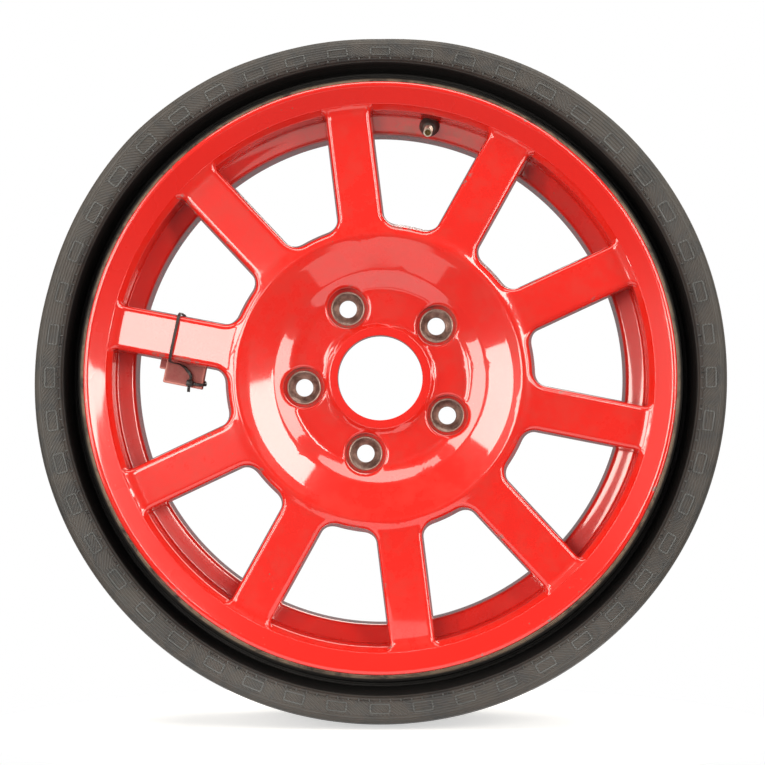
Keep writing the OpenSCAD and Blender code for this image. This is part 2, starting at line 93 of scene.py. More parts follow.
class Value:
    """A number socket that takes part in arithmetic."""

    def __init__(self, graph: "Graph", socket: bpy.types.NodeSocket) -> None:
        """Args: graph: the graph that the socket is in. socket: an output that carries a number."""
        self.graph = graph
        self.socket = socket

    def _math(self, operation: str, first: "Value | float",
              second: "Value | float" = 0.0) -> "Value":
        """Adds one Math node.

        Args:
            operation: the node's operation.
            first: its first number.
            second: its second number.

        Returns:
            The node's result.
        """
        node = self.graph.node("ShaderNodeMath", {"operation": operation}, {0: first, 1: second})
        return Value(self.graph, node.outputs[0])

    def __add__(self, other: "Value | float") -> "Value":
        """Sum."""
        return self._math("ADD", self, other)

    __radd__ = __add__

    def __sub__(self, other: "Value | float") -> "Value":
        """Difference."""
        return self._math("SUBTRACT", self, other)

    def __rsub__(self, other: float) -> "Value":
        """Difference, reflected."""
        return self._math("SUBTRACT", other, self)

    def __mul__(self, other: "Value | float") -> "Value":
        """Product."""
        return self._math("MULTIPLY", self, other)

    __rmul__ = __mul__

    def __pow__(self, other: float) -> "Value":
        """Power."""
        return self._math("POWER", self, other)

    def __mod__(self, other: float) -> "Value":
        """Remainder, from 0 up."""
        return self._math("FLOORED_MODULO", self, other)

    def __abs__(self) -> "Value":
        """Size without its sign."""
        return self._math("ABSOLUTE", self)

    def most(self, other: "Value | float") -> "Value":
        """The greater of the two."""
        return self._math("MAXIMUM", self, other)

    def sine(self) -> "Value":
        """Sine of the value in radians."""
        return self._math("SINE", self)

    def ramp(self, low: float, high: float) -> "Value":
        """Rises smoothly from 0 at low to 1 at high, or falls where low is above high.

        Args:
            low: value that gives 0.
            high: value that gives 1.

        Returns:
            A number from 0 to 1.
        """
        start, end, to_low, to_high = (low, high, 0.0, 1.0) if low < high else (high, low, 1.0, 0.0)
        node = self.graph.node(
            "ShaderNodeMapRange",
            {"interpolation_type": "SMOOTHSTEP"},
            {"Value": self, "From Min": start, "From Max": end, "To Min": to_low,
             "To Max": to_high},
        )
        return Value(self.graph, node.outputs[0])


class Graph:
    """The node graph of one material."""

    def __init__(self, name: str) -> None:
        """Args: name: the material's name."""
        self.material = bpy.data.materials.new(name)
        self.material.use_nodes = True
        self.tree = self.material.node_tree
        self.tree.nodes.clear()
        self.place = self.node("ShaderNodeTexCoord").outputs["Object"]

    def node(self, kind: str, settings: dict | None = None,
             inputs: dict | None = None) -> bpy.types.Node:
        """Adds one node.

        Args:
            kind: the node's type.
            settings: properties, set first.
            inputs: socket name or number to a value, a socket or a Value.

        Returns:
            The node.
        """
        made = self.tree.nodes.new(kind)
        for key, setting in (settings or {}).items():
            setattr(made, key, setting)
        for key, given in (inputs or {}).items():
            socket = given.socket if isinstance(given, Value) else given
            if isinstance(socket, bpy.types.NodeSocket):
                self.tree.links.new(socket, made.inputs[key])
            elif isinstance(socket, tuple) and len(socket) == 3 and made.inputs[key].type == "RGBA":
                made.inputs[key].default_value = (*socket, 1.0)
            else:
                made.inputs[key].default_value = socket
        return made

    def noise(self, scale: float, detail: float = 3.0, rough: float = 0.55,
              distortion: float = 0.0) -> Value:
        """Soft noise from 0 to 1.

        Args:
            scale: features per metre.
            detail: octaves.
            rough: strength of the finer octaves.
            distortion: how far the pattern is pulled about.

        Returns:
            The noise.
        """
        made = self.node("ShaderNodeTexNoise", None, {
            "Vector": self.place, "Scale": scale, "Detail": detail,
            "Roughness": rough, "Distortion": distortion})
        return Value(self, made.outputs["Fac"])

    def cells(self, scale: float) -> Value:
        """Distance to the nearest of many scattered points, in cells, with that many to a metre."""
        made = self.node("ShaderNodeTexVoronoi", {"feature": "F1"},
                         {"Vector": self.place, "Scale": scale})
        return Value(self, made.outputs["Distance"])

    def field(self, name: str) -> Value:
        """A number kept on the piece's own vertices."""
        made = self.node("ShaderNodeAttribute",
                         {"attribute_type": "GEOMETRY", "attribute_name": name})
        return Value(self, made.outputs["Fac"])

    def axis(self, letter: str, where: bpy.types.NodeSocket | None = None) -> Value:
        """One coordinate, in metres."""
        split = self.node("ShaderNodeSeparateXYZ", None, {0: where or self.place})
        return Value(self, split.outputs[letter])

    def uv(self) -> tuple[Value, Value]:
        """The piece's own two surface coordinates, round it and along its section, in metres."""
        where = self.node("ShaderNodeUVMap", {"uv_map": "skin"}).outputs[0]
        return self.axis("X", where), self.axis("Y", where)

    def mix(self, share: Value | float, first: object, second: object) -> bpy.types.NodeSocket:
        """Blends two colours.

        Args:
            share: how much of the second shows.
            first: a colour or a socket.
            second: a colour or a socket.

        Returns:
            The colour's socket.
        """
        made = self.node("ShaderNodeMix", {"data_type": "RGBA"}, {0: share, 6: first, 7: second})
        return made.outputs[2]

    def bump(self, height: Value, depth: float, strength: float = 1.0,
             over: bpy.types.NodeSocket | None = None) -> bpy.types.NodeSocket:
        """Relief from a height that runs from 0 to 1.

        Args:
            height: the relief.
            depth: its full depth, in metres.
            strength: share of it that shows.
            over: a normal that it adds to.

        Returns:
            The new normal.
        """
        inputs = {"Height": height, "Distance": depth, "Strength": strength}
        if over is not None:
            inputs["Normal"] = over
        return self.node("ShaderNodeBump", None, inputs).outputs[0]

    def close(self, **sockets: object) -> bpy.types.Material:
        """Ends the graph in one shader.

        Args:
            sockets: its inputs, with underscores for the spaces in their names.

        Returns:
            The finished material.
        """
        inputs = {key.replace("_", " "): given for key, given in sockets.items()}
        shader = self.node("ShaderNodeBsdfPrincipled", None, inputs)
        self.node("ShaderNodeOutputMaterial", None, {0: shader.outputs[0]})
        return self.material


# ---------------------------------------------------------------- finishes


class Hatch(Enum):
    """Moulded pattern on a face of the tyre."""

    RING = "ring"
    TREAD = "tread"
    RAISED = "raised"
    PLAIN = "plain"


@dataclass(frozen=True)
class GlossPaint:
    """Glossy red powder coat over the cast alloy, chipped on its edges and dusty on its ledges."""

    red: Rgb = (0.50, 0.0085, 0.0040)
    deep_red: Rgb = (0.43, 0.0068, 0.0032)
    chip: Rgb = tone(96, 84, 78)
    dust: Rgb = tone(98, 76, 62)
    roughness: float = 0.23

    def material(self) -> bpy.types.Material:
        """Makes the material."""
        g = Graph("red_powder_coat")
        cloud = g.noise(9, 4)
        colour = g.mix(cloud.ramp(0.35, 0.75) * 0.6, self.red, self.deep_red)
        speck = g.cells(150).ramp(0.13, 0.06) * g.noise(17, 2).ramp(0.55, 0.68)
        soil = g.field("soil")
        film = (g.noise(60, 5, 0.7).ramp(0.42, 0.62) * 0.85 + 0.15) * soil
        chips = (g.noise(210, 3, 0.6) * g.noise(26, 2)).ramp(0.352, 0.378) * g.field("edge")
        dirt = film.most(speck * 0.75)
        colour = g.mix(dirt, colour, self.dust)
        colour = g.mix(chips, colour, self.chip)
        peel = g.noise(420, 2, 0.4)
        flow = g.noise(38, 1, 0.3)
        normal = g.bump(peel, 0.00004, 0.7)
        normal = g.bump(flow, 0.0005, 0.5, normal)
        normal = g.bump(1 - chips, 0.00012, 0.8, normal)
        rough = self.roughness + cloud * 0.08 + dirt * 0.45 + chips * 0.3
        return g.close(Base_Color=colour, Roughness=rough, Normal=normal, Coat_Weight=1.0,
                       Coat_Roughness=0.055, Coat_IOR=1.55, Specular_IOR_Level=0.2)


@dataclass(frozen=True)
class TyreRubber:
    """Dark moulded rubber, greyed and dusty, with fine bands on its side and sipes on its tread,
    and painted shade in its fold.
    """

    hatch: Hatch
    black: Rgb = tone(29, 30, 31)
    bloom: Rgb = tone(54, 56, 57)
    dust: Rgb = tone(116, 98, 80)
    # painted shade: near-black for the fold's valley and the tread's shoulder
    deep: Rgb = tone(14, 12, 11)
    line_pitch: float = 0.0027
    slant_pitch: float = 0.0031
    patch_pitch: float = 0.288
    band_foot: tuple[float, float] = (0.0405, 0.0412)
    band_top: tuple[float, float] = (0.0552, 0.0545)
    sipe_gap: float = 0.0094
    sipe_sway: float = 0.0012
    sipe_wave: float = 0.024
    cut_gap: float = 0.012
    plain_pitch: float = 0.0026

    def _ring_relief(self, g: Graph, turn: Value) -> Value:
        """Pattern of the ring's face: round lines, with patches of slanted hatching.

        Args:
            g: the material's graph.
            turn: distance round the ring.

        Returns:
            The relief, from 0 to 1.
        """
        height = g.field("height")
        lines = (height * (math.tau / self.line_pitch)).sine().ramp(-0.7, 0.5)
        slant = ((turn * 0.9 + height) * (math.tau / self.slant_pitch)).sine().ramp(-0.5, 0.5)
        band = height.ramp(*self.band_foot) * height.ramp(*self.band_top)
        patch = (turn * (math.tau / self.patch_pitch)).sine().ramp(-0.52, -0.48) * band
        return lines * (1 - patch) + slant * patch

    def _tread_relief(self, turn: Value, along: Value) -> Value:
        """Pattern of the crown: wavy sipes round it, and short cuts across it.

        Args:
            turn: distance round the tread.
            along: distance across it.

        Returns:
            The relief, from 0 to 1.
        """
        sway = (turn * (math.tau / self.sipe_wave)).sine() * self.sipe_sway
        sipe = abs(((along + sway) % self.sipe_gap) - self.sipe_gap / 2).ramp(0.0002, 0.0006)
        cut = abs((turn % self.cut_gap) - self.cut_gap / 2).ramp(0.0003, 0.0008)
        return sipe * 0.5 + cut * 0.5

    def _relief(self, g: Graph) -> Value:
        """The moulded pattern that this rubber's hatch asks for.

        Args:
            g: the material's graph.

        Returns:
            The relief, from 0 to 1.
        """
        if self.hatch in (Hatch.PLAIN, Hatch.RAISED):
            x, z = g.axis("X"), g.axis("Z")
            slope = (x * x + z * z) ** 0.5 + g.axis("Y")
            return (slope * (math.tau / self.plain_pitch)).sine() * 0.5 + 0.5
        turn, along = g.uv()
        ring = self._ring_relief(g, turn)
        if self.hatch is Hatch.RING:
            return ring
        face = g.field("face")
        return ring * face + self._tread_relief(turn, along) * (1 - face)

    def material(self) -> bpy.types.Material:
        """Makes the material."""
        g = Graph("tyre_rubber_" + self.hatch.value)
        relief = self._relief(g)
        cloud = g.noise(14, 5, 0.65)
        grain = g.noise(900, 2, 0.6)
        scuff = g.noise(55, 4, 0.7, distortion=0.6)
        colour = g.mix(cloud.ramp(0.3, 0.75) * 0.5 + relief * 0.5, self.black, self.bloom)
        colour = g.mix((1 - relief) * 0.08 * cloud, colour, self.dust)
        # painted shade: the shade field darkens the fold's valley and the tread's shoulder to
        # near-black
        colour = g.mix(g.field("shade"), colour, self.deep)
        colour = g.mix(g.field("soil") * scuff.ramp(0.3, 0.6), colour, self.dust)
        normal = g.bump(relief, 0.0007, 0.9)
        normal = g.bump(grain, 0.00008, 0.9, normal)
        normal = g.bump(scuff, 0.0005, 0.4, normal)
        rough = 0.5 + cloud * 0.2 + scuff * 0.1
        return g.close(Base_Color=colour, Roughness=rough, Normal=normal, Specular_IOR_Level=0.45)


@dataclass(frozen=True)
class TurnedSteel:
    """Bare turned metal, browned by age, with tool marks round each seat and a painted highlight on
    its outer rim.
    """

    bright: Rgb = tone(184, 160, 148)
    brown: Rgb = tone(92, 62, 54)
    tool_pitch: float = 0.00042

    def material(self) -> bpy.types.Material:
        """Makes the material."""
        g = Graph("turned_seat_steel")
        track = g.field("track")
        marks = (track * (math.tau / self.tool_pitch)).sine() * 0.5 + 0.5
        stain = g.noise(120, 5, 0.65)
        # painted highlight: the flat top face and outer rim of each ring are left lighter, with
        # less brown
        rim = track.ramp(0.0128, 0.0140)
        colour = g.mix((stain.ramp(0.3, 0.7) * 0.75 + 0.15) * (1 - rim * 0.6), self.bright,
                       self.brown)
        normal = g.bump(marks, 0.00004, 0.9)
        normal = g.bump(stain, 0.0001, 0.5, normal)
        return g.close(Base_Color=colour, Metallic=0.9 - stain * 0.25, Roughness=0.3 + stain * 0.22,
                       Normal=normal)


@dataclass(frozen=True)
class PlatedBrass:
    """Nickel-plated brass of the valve stem, a little dull and dusty."""

    name: str = "plated_brass"
    plate: Rgb = tone(214, 208, 196)
    dull: Rgb = tone(146, 132, 112)
    roughness: float = 0.24

    def material(self) -> bpy.types.Material:
        """Makes the material."""
        g = Graph(self.name)
        stain = g.noise(260, 4, 0.6)
        pits = g.cells(2600).ramp(0.2, 0.05) * g.noise(500).ramp(0.5, 0.7)
        colour = g.mix(stain.ramp(0.35, 0.75) * 0.7, self.plate, self.dull)
        colour = g.mix(pits * 0.5, colour, tone(84, 70, 54))
        return g.close(Base_Color=colour, Metallic=1.0, Roughness=self.roughness + stain * 0.2,
                       Normal=g.bump(stain, 0.00003, 0.5))


@dataclass(frozen=True)
class SpringWire:
    """Bright drawn wire, with die marks."""

    name: str = "spring_wire"
    steel: Rgb = tone(170, 168, 164)

    def material(self) -> bpy.types.Material:
        """Makes the material."""
        g = Graph(self.name)
        drawn = g.noise(1800, 2, 0.5)
        colour = g.mix(drawn * 0.5, self.steel, tone(104, 100, 96))
        return g.close(Base_Color=colour, Metallic=1.0, Roughness=0.26 + drawn * 0.2,
                       Normal=g.bump(drawn, 0.00002, 0.5))


@dataclass(frozen=True)
class SoftRubber:
    """Smooth black rubber of the valve and the gasket, faintly bloomed."""

    name: str
    black: Rgb = tone(34, 32, 31)
    bloom: Rgb = tone(78, 70, 64)

    def material(self) -> bpy.types.Material:
        """Makes the material."""
        g = Graph(self.name)
        cloud = g.noise(190, 4, 0.6)
        colour = g.mix(cloud.ramp(0.4, 0.75) * 0.7, self.black, self.bloom)
        normal = g.bump(g.noise(1500, 2), 0.00003, 0.8)
        return g.close(Base_Color=colour, Roughness=0.42 + cloud * 0.25, Normal=normal)


@dataclass(frozen=True)
class Nylon:
    """Black nylon of the cable tie, glossy on its faces and ribbed across its back."""

    black: Rgb = tone(26, 22, 21)
    scuffed: Rgb = tone(74, 64, 60)
    rib_gap: float = 0.0011

    def material(self) -> bpy.types.Material:
        """Makes the material."""
        g = Graph("tie_nylon")
        _, along = g.uv()
        rib = abs((along % self.rib_gap) - self.rib_gap / 2).ramp(0.0001, 0.0004) * g.field("teeth")
        wear = g.noise(300, 4, 0.6)
        colour = g.mix(wear.ramp(0.5, 0.8) * 0.5, self.black, self.scuffed)
        normal = g.bump(1 - rib, 0.0003, 0.8)
        normal = g.bump(wear, 0.00005, 0.5, normal)
        return g.close(Base_Color=colour, Roughness=0.28 + wear * 0.25, Normal=normal)


@dataclass(frozen=True)
class DustyTag:
    """Pinkish red plastic under a film of dust, with a painted highlight on its rounded edges."""

    red: Rgb = tone(128, 44, 42)
    dust: Rgb = tone(150, 98, 90)

    def material(self) -> bpy.types.Material:
        """Makes the material."""
        g = Graph("dusty_tag_plastic")
        film = g.noise(75, 6, 0.7)
        streak = g.noise(240, 3, 0.6, distortion=1.2)
        colour = g.mix(film.ramp(0.3, 0.72) * 0.6, self.red, self.dust)
        # painted highlight: pale pink laid on the tag's rounded edges through the edge field
        colour = g.mix(g.field("edge") * 0.65, colour, tone(216, 152, 140))
        colour = g.mix(streak.ramp(0.62, 0.72) * 0.5, colour, tone(104, 52, 46))
        normal = g.bump(streak, 0.00008, 0.7)
        return g.close(Base_Color=colour, Roughness=0.5 + film * 0.3, Normal=normal)


@dataclass(frozen=True)
class CordPly:
    """Rubbered cord fabric inside the tyre: parallel cords that run across the section."""

    name: str
    cord: Rgb = tone(166, 136, 96)
    gum: Rgb = tone(60, 48, 38)
    lean: float = 1.0
    cord_pitch: float = 0.0013

    def material(self) -> bpy.types.Material:
        """Makes the material."""
        g = Graph(self.name)
        angle = Value(g, g.node("ShaderNodeMath", {"operation": "ARCTAN2"},
                                {0: g.axis("X"), 1: g.axis("Z")}).outputs[0])
        across = angle * 0.28 + g.axis("Y") * self.lean
        cords = (across * (math.tau / self.cord_pitch)).sine() * 0.5 + 0.5
        slub = g.noise(400, 3)
        colour = g.mix(cords.ramp(0.25, 0.8), self.gum, self.cord)
        colour = g.mix(slub.ramp(0.55, 0.8) * 0.5, colour, self.gum)
        return g.close(Base_Color=colour, Roughness=0.7 + slub * 0.2,
                       Normal=g.bump(cords, 0.0004, 0.8))


@dataclass(frozen=True)
class BeadWire:
    """Bundle of bronzed steel wires in the bead."""

    bronze: Rgb = tone(168, 122, 76)
    wire: float = 0.0012

    def material(self) -> bpy.types.Material:
        """Makes the material."""
        g = Graph("bead_wire")
        x, z = g.axis("X"), g.axis("Z")
        reach = (x * x + z * z) ** 0.5
        strands = ((reach + g.axis("Y")) * (math.tau / self.wire)).sine() * 0.5 + 0.5
        stain = g.noise(300, 3)
        colour = g.mix(stain.ramp(0.4, 0.7), self.bronze, tone(96, 72, 52))
        return g.close(Base_Color=colour, Metallic=0.9, Roughness=0.35 + stain * 0.2,
                       Normal=g.bump(strands, 0.0005, 0.8))


@dataclass(frozen=True)
class StudioFloor:
    """Plain pale matt floor."""

    pale: Rgb = (0.62, 0.62, 0.62)

    def material(self) -> bpy.types.Material:
        """Makes the material."""
        g = Graph("studio_floor")
        cloud = g.noise(1.5, 2)
        colour = g.mix(cloud * 0.1, self.pale, (0.60, 0.60, 0.60))
        return g.close(Base_Color=colour, Roughness=0.9, Emission_Color=(1.0, 1.0, 1.0),
                       Emission_Strength=0.55)


# ---------------------------------------------------------------- outlines and skins


def rounded(corners: Sequence[Corner], chords: int = 8, closed: bool = False) -> np.ndarray:
    """Turns corners with radii into a line of points.

    Args:
        corners: two coordinates and a corner radius each, in millimetres.
        chords: chords in each rounded corner.
        closed: whether the line runs back to its start.

    Returns:
        The points, one a row.
    """
    points = np.array(corners, float)
    count = len(points)
    line = []
    for i, (u, v, radius) in enumerate(points):
        here = np.array((u, v))
        if radius == 0 or (not closed and i in (0, count - 1)):
            line.append(here)
            continue
        before, after = points[(i - 1) % count, :2], points[(i + 1) % count, :2]
        a = (before - here) / np.linalg.norm(before - here)
        b = (after - here) / np.linalg.norm(after - here)
        half = math.acos(float(np.clip(a @ b, -1, 1))) / 2
        centre = here + (a + b) / np.linalg.norm(a + b) * radius / math.sin(half)
        first = here + a * radius / math.tan(half) - centre
        last = here + b * radius / math.tan(half) - centre
        start = math.atan2(first[1], first[0])
        sweep = (math.atan2(last[1], last[0]) - start + math.pi) % math.tau - math.pi
        for k in range(chords + 1):
            angle = start + sweep * k / chords
            line.append(centre + radius * np.array((math.cos(angle), math.sin(angle))))
    return np.array(line)


def thinned(line: np.ndarray, longest: float) -> np.ndarray:
    """Adds points so that no chord of a closed line is longer than a limit.

    Args:
        line: points of a closed line.
        longest: the limit.

    Returns:
        The denser line.
    """
    out = []
    for here, after in zip(line, np.roll(line, -1, axis=0)):
        steps = max(1, math.ceil(np.linalg.norm(after - here) / longest))
        out += [here + (after - here) * k / steps for k in range(steps)]
    return np.array(out)


def step(value: np.ndarray | float, low: float, high: float) -> np.ndarray:
    """Rises smoothly from 0 at low to 1 at high."""
    t = np.clip((np.asarray(value, float) - low) / (high - low), 0, 1)
    return t * t * (3 - 2 * t)


def round_wheel(reach: np.ndarray, clock: np.ndarray, depth: np.ndarray) -> np.ndarray:
    """Points at a distance from the axle, a clock angle in radians and a depth, in millimetres."""
    return np.stack([reach * np.sin(clock), depth + 0 * clock, reach * np.cos(clock)], axis=-1)


def at_clock(points: np.ndarray, clock: float) -> np.ndarray:
    """Turns points about the axle to a clock angle in degrees."""
    c, s = math.cos(math.radians(clock)), math.sin(math.radians(clock))
    x, y, z = points[..., 0], points[..., 1], points[..., 2]
    return np.stack([x * c + z * s, y, z * c - x * s], axis=-1)


class Skin:
    """Grids of points that become one mesh. Sizes are in millimetres."""

    def __init__(self) -> None:
        """Starts empty."""
        self.points: list[np.ndarray] = []
        self.faces: list[tuple[int, ...]] = []
        self.uvs: list[tuple[float, float]] = []
        self.fields: dict[str, list[np.ndarray]] = {}
        self.count = 0

    def grid(self, rows: np.ndarray, wrap_rows: bool = False, wrap_columns: bool = False,
             uv: np.ndarray | None = None, **fields: np.ndarray) -> None:
        """Adds a grid of quads.

        Args:
            rows: points by row and column.
            wrap_rows: whether the last row joins the first.
            wrap_columns: whether the last column joins the first.
            uv: surface coordinates by row and column, one row and one column more where it wraps.
            fields: numbers by row and column, kept on the vertices.
        """
        m, n = rows.shape[:2]
        base = self.count
        self.points.append(rows.reshape(-1, 3))
        self.count += m * n
        for name in sorted(set(self.fields) | set(fields)):
            have = self.fields.setdefault(name, [np.zeros(base)] if base else [])
            given = fields.get(name)
            have.append(np.zeros(m * n) if given is None
                        else np.broadcast_to(given, (m, n)).reshape(-1))
        for i in range(m if wrap_rows else m - 1):
            for j in range(n if wrap_columns else n - 1):
                i2, j2 = (i + 1) % m, (j + 1) % n
                row, row2 = base + i * n, base + i2 * n
                self.faces.append((row + j, row + j2, row2 + j2, row2 + j))
                if uv is None:
                    self.uvs += [(0.0, 0.0)] * 4
                else:
                    self.uvs += [tuple(uv[i + a, j + b])
                                 for a, b in ((0, 0), (0, 1), (1, 1), (1, 0))]

    def fan(self, ring: np.ndarray) -> None:
        """Closes a ring of points with one polygon.

        Args:
            ring: the points, in order.
        """
        base = self.count
        self.points.append(ring)
        self.count += len(ring)
        for have in self.fields.values():
            have.append(np.zeros(len(ring)))
        self.faces.append(tuple(range(base, base + len(ring))))
        self.uvs += [(0.0, 0.0)] * len(ring)

    def zipper(self, first: np.ndarray, second: np.ndarray, centre: np.ndarray) -> None:
        """Joins two rings with different numbers of points, both round the same line along Y.

        Args:
            first: points of one ring.
            second: points of the other.
            centre: a point on the line.
        """
        def following(angles: np.ndarray, i: int) -> float:
            """Angle of the point after the one at i, with no point past a full turn."""
            if i + 1 < len(angles):
                return angles[i + 1]
            return angles[0] + math.tau if i < len(angles) else math.inf

        rings = []
        for ring in (first, second):
            angle = np.arctan2(ring[:, 0] - centre[0], ring[:, 2] - centre[2])
            order = np.argsort(angle)
            rings.append((ring[order], angle[order]))
        (a, angle_a), (b, angle_b) = rings
        base = self.count
        self.points += [a, b]
        self.count += len(a) + len(b)
        for have in self.fields.values():
            have.append(np.zeros(len(a) + len(b)))
        i = j = 0
        while i < len(a) or j < len(b):
            ia, jb = base + i % len(a), base + len(a) + j % len(b)
            if following(angle_a, i) <= following(angle_b, j):
                i += 1
                self.faces.append((ia, base + i % len(a), jb))
            else:
                j += 1
                self.faces.append((ia, base + len(a) + j % len(b), jb))
            self.uvs += [(0.0, 0.0)] * 3

    def piece(self, name: str, material: bpy.types.Material, crease: float = 35.0,
              weld: float = 0.004) -> bpy.types.Object:
        """Welds the grids into one closed mesh.

        Args:
            name: the piece's name.
            material: its finish.
            crease: angle in degrees above which an edge stays sharp.
            weld: distance within which points are one.

        Returns:
            The new object.
        """
        mesh = bpy.data.meshes.new(name)
        mesh.from_pydata(np.concatenate(self.points) * MM, [], self.faces)
        layer = mesh.uv_layers.new(name="skin")
        layer.data.foreach_set("uv", np.array(self.uvs, np.float32).reshape(-1))
        for key, parts in self.fields.items():
            kept = mesh.attributes.new(key, "FLOAT", "POINT")
            kept.data.foreach_set("value", np.concatenate(parts).astype(np.float32))
        work = bmesh.new()
        work.from_mesh(mesh)
        bmesh.ops.remove_doubles(work, verts=work.verts, dist=weld * MM)
        bmesh.ops.dissolve_degenerate(work, edges=work.edges, dist=weld * MM / 4)
        bmesh.ops.recalc_face_normals(work, faces=work.faces)
        work.to_mesh(mesh)
        work.free()
        return shown(name, mesh, material, crease)


def shown(name: str, mesh: bpy.types.Mesh, material: bpy.types.Material,
          crease: float = 35.0) -> bpy.types.Object:
    """Links a mesh as a smooth-shaded object.

    Args:
        name: the object's name.
        mesh: its mesh.
        material: its finish.
        crease: angle in degrees above which an edge stays sharp.

    Returns:
        The object.
    """
    mesh.materials.clear()
    mesh.materials.append(material)
    mesh.shade_smooth()
    mesh.set_sharp_from_angle(angle=math.radians(crease))
    made = bpy.data.objects.new(name, mesh)
    bpy.context.scene.collection.objects.link(made)
    return made


def spin(line: np.ndarray, segments: int,
         warp: Callable | None = None) -> tuple[np.ndarray, np.ndarray]:
    """Turns a closed section round the axle.

    Args:
        line: distance from the axle and depth of each point.
        segments: steps in a turn.
        warp: changes distance, clock and depth arrays, for shapes that aren't quite round.

    Returns:
        The grid of points and its surface coordinates.
    """
    clock = np.arange(segments) * math.tau / segments
    reach, turn = np.meshgrid(line[:, 0], clock, indexing="ij")
    depth = np.repeat(line[:, 1][:, None], segments, axis=1)
    if warp:
        reach, turn, depth = warp(reach, turn, depth)
    run = np.concatenate([[0], np.cumsum(np.linalg.norm(np.roll(line, -1, axis=0) - line, axis=1))])
    mean = line[:, 0].mean()
    round_about, along = np.meshgrid(np.arange(segments + 1) * math.tau / segments * mean, run)
    return round_wheel(reach, turn, depth), np.stack([round_about, along], axis=-1) * MM


class RadialArray:
    """A Geometry Nodes tree that sets copies of one small shape round the wheel's axis."""

    def __init__(self) -> None:
        """Builds the tree once."""
        self.tree = bpy.data.node_groups.new("copies_round_the_axle", "GeometryNodeTree")
        self.ids: dict[str, str] = {}
        for name, kind, start in (
            ("Source", "NodeSocketObject", None), ("Count", "NodeSocketInt", 5),
            ("Reach", "NodeSocketFloat", 0.065), ("Start", "NodeSocketFloat", 0.0),
            ("Spread", "NodeSocketFloat", 0.0), ("Seed", "NodeSocketInt", 1),
            ("Finish", "NodeSocketMaterial", None)):
            made = self.tree.interface.new_socket(name, in_out="INPUT", socket_type=kind)
            if start is not None:
                made.default_value = start
            self.ids[name] = made.identifier
        self.tree.interface.new_socket("Geometry", in_out="OUTPUT",
                                       socket_type="NodeSocketGeometry")
        self._wire()

    def _node(self, kind: str, settings: dict | None = None,
              inputs: dict | None = None) -> bpy.types.Node:
        """Adds one node.

        Args:
            kind: the node's type.
            settings: properties, set first.
            inputs: socket name or number to a value or a socket.

        Returns:
            The node.
        """
        made = self.tree.nodes.new(kind)
        for key, setting in (settings or {}).items():
            setattr(made, key, setting)
        for key, given in (inputs or {}).items():
            if isinstance(given, bpy.types.NodeSocket):
                self.tree.links.new(given, made.inputs[key])
            else:
                made.inputs[key].default_value = given
        return made

    def _math(self, operation: str, first: object, second: object = 0.0) -> bpy.types.NodeSocket:
        """Adds one Math node and gives its result."""
        return self._node("ShaderNodeMath", {"operation": operation},
                          {0: first, 1: second}).outputs[0]

    def _wire(self) -> None:
        """Joins the tree's nodes."""
        given = self._node("NodeGroupInput").outputs
        index = self._node("GeometryNodeInputIndex").outputs[0]
        stray = self._node("FunctionNodeRandomValue", {"data_type": "FLOAT"},
                           {2: -1.0, 3: 1.0, "ID": index, "Seed": given["Seed"]}).outputs[1]
        moved = self._math("ADD", index, self._math("MULTIPLY", stray, given["Spread"]))
        share = self._math("DIVIDE", moved, given["Count"])
        clock = self._math("ADD", given["Start"], self._math("MULTIPLY", share, math.tau))
        place = self._node("ShaderNodeCombineXYZ", None, {
            "X": self._math("MULTIPLY", self._math("SINE", clock), given["Reach"]),
            "Z": self._math("MULTIPLY", self._math("COSINE", clock), given["Reach"])}).outputs[0]
        turn = self._node("ShaderNodeCombineXYZ", None, {"Y": clock}).outputs[0]
        dots = self._node("GeometryNodePoints", None,
                          {"Count": given["Count"], "Position": place}).outputs[0]
        shape = self._node("GeometryNodeObjectInfo", {"transform_space": "ORIGINAL"},
                           {"Object": given["Source"]}).outputs["Geometry"]
        copies = self._node("GeometryNodeInstanceOnPoints", None,
                            {"Points": dots, "Instance": shape, "Rotation": turn}).outputs[0]
        real = self._node("GeometryNodeRealizeInstances", None, {"Geometry": copies}).outputs[0]
        done = self._node("GeometryNodeSetMaterial", None,
                          {"Geometry": real, "Material": given["Finish"]})
        self._node("NodeGroupOutput", None, {0: done.outputs[0]})

    def copies(self, name: str, source: bpy.types.Object, finish: bpy.types.Material, count: int,
               reach: float, start: float = 0.0, spread: float = 0.0,
               seed: int = 1) -> bpy.types.Mesh:
        """Makes one plain mesh of all the copies.

        Args:
            name: the mesh's name.
            source: the shape, as it stands at twelve o'clock with its place at the origin.
            finish: its material.
            count: how many copies.
            reach: distance from the axle, in millimetres.
            start: clock angle of the first, in degrees.
            spread: how far each may stray, in steps.
            seed: seed of the straying.

        Returns:
            The mesh.
        """
        holder = bpy.data.objects.new(name + "_holder", bpy.data.meshes.new(name + "_holder"))
        bpy.context.scene.collection.objects.link(holder)
        modifier = holder.modifiers.new("copies", "NODES")
        modifier.node_group = self.tree
        for key, given in (("Source", source), ("Count", count), ("Reach", reach * MM),
                           ("Start", math.radians(start)), ("Spread", spread), ("Seed", seed),
                           ("Finish", finish)):
            modifier[self.ids[key]] = given
        ready = holder.evaluated_get(bpy.context.evaluated_depsgraph_get())
        mesh = bpy.data.meshes.new_from_object(ready)
        mesh.name = name
        for old in (holder, source):
            bpy.data.objects.remove(old)
        return mesh


# ---------------------------------------------------------------- the casting


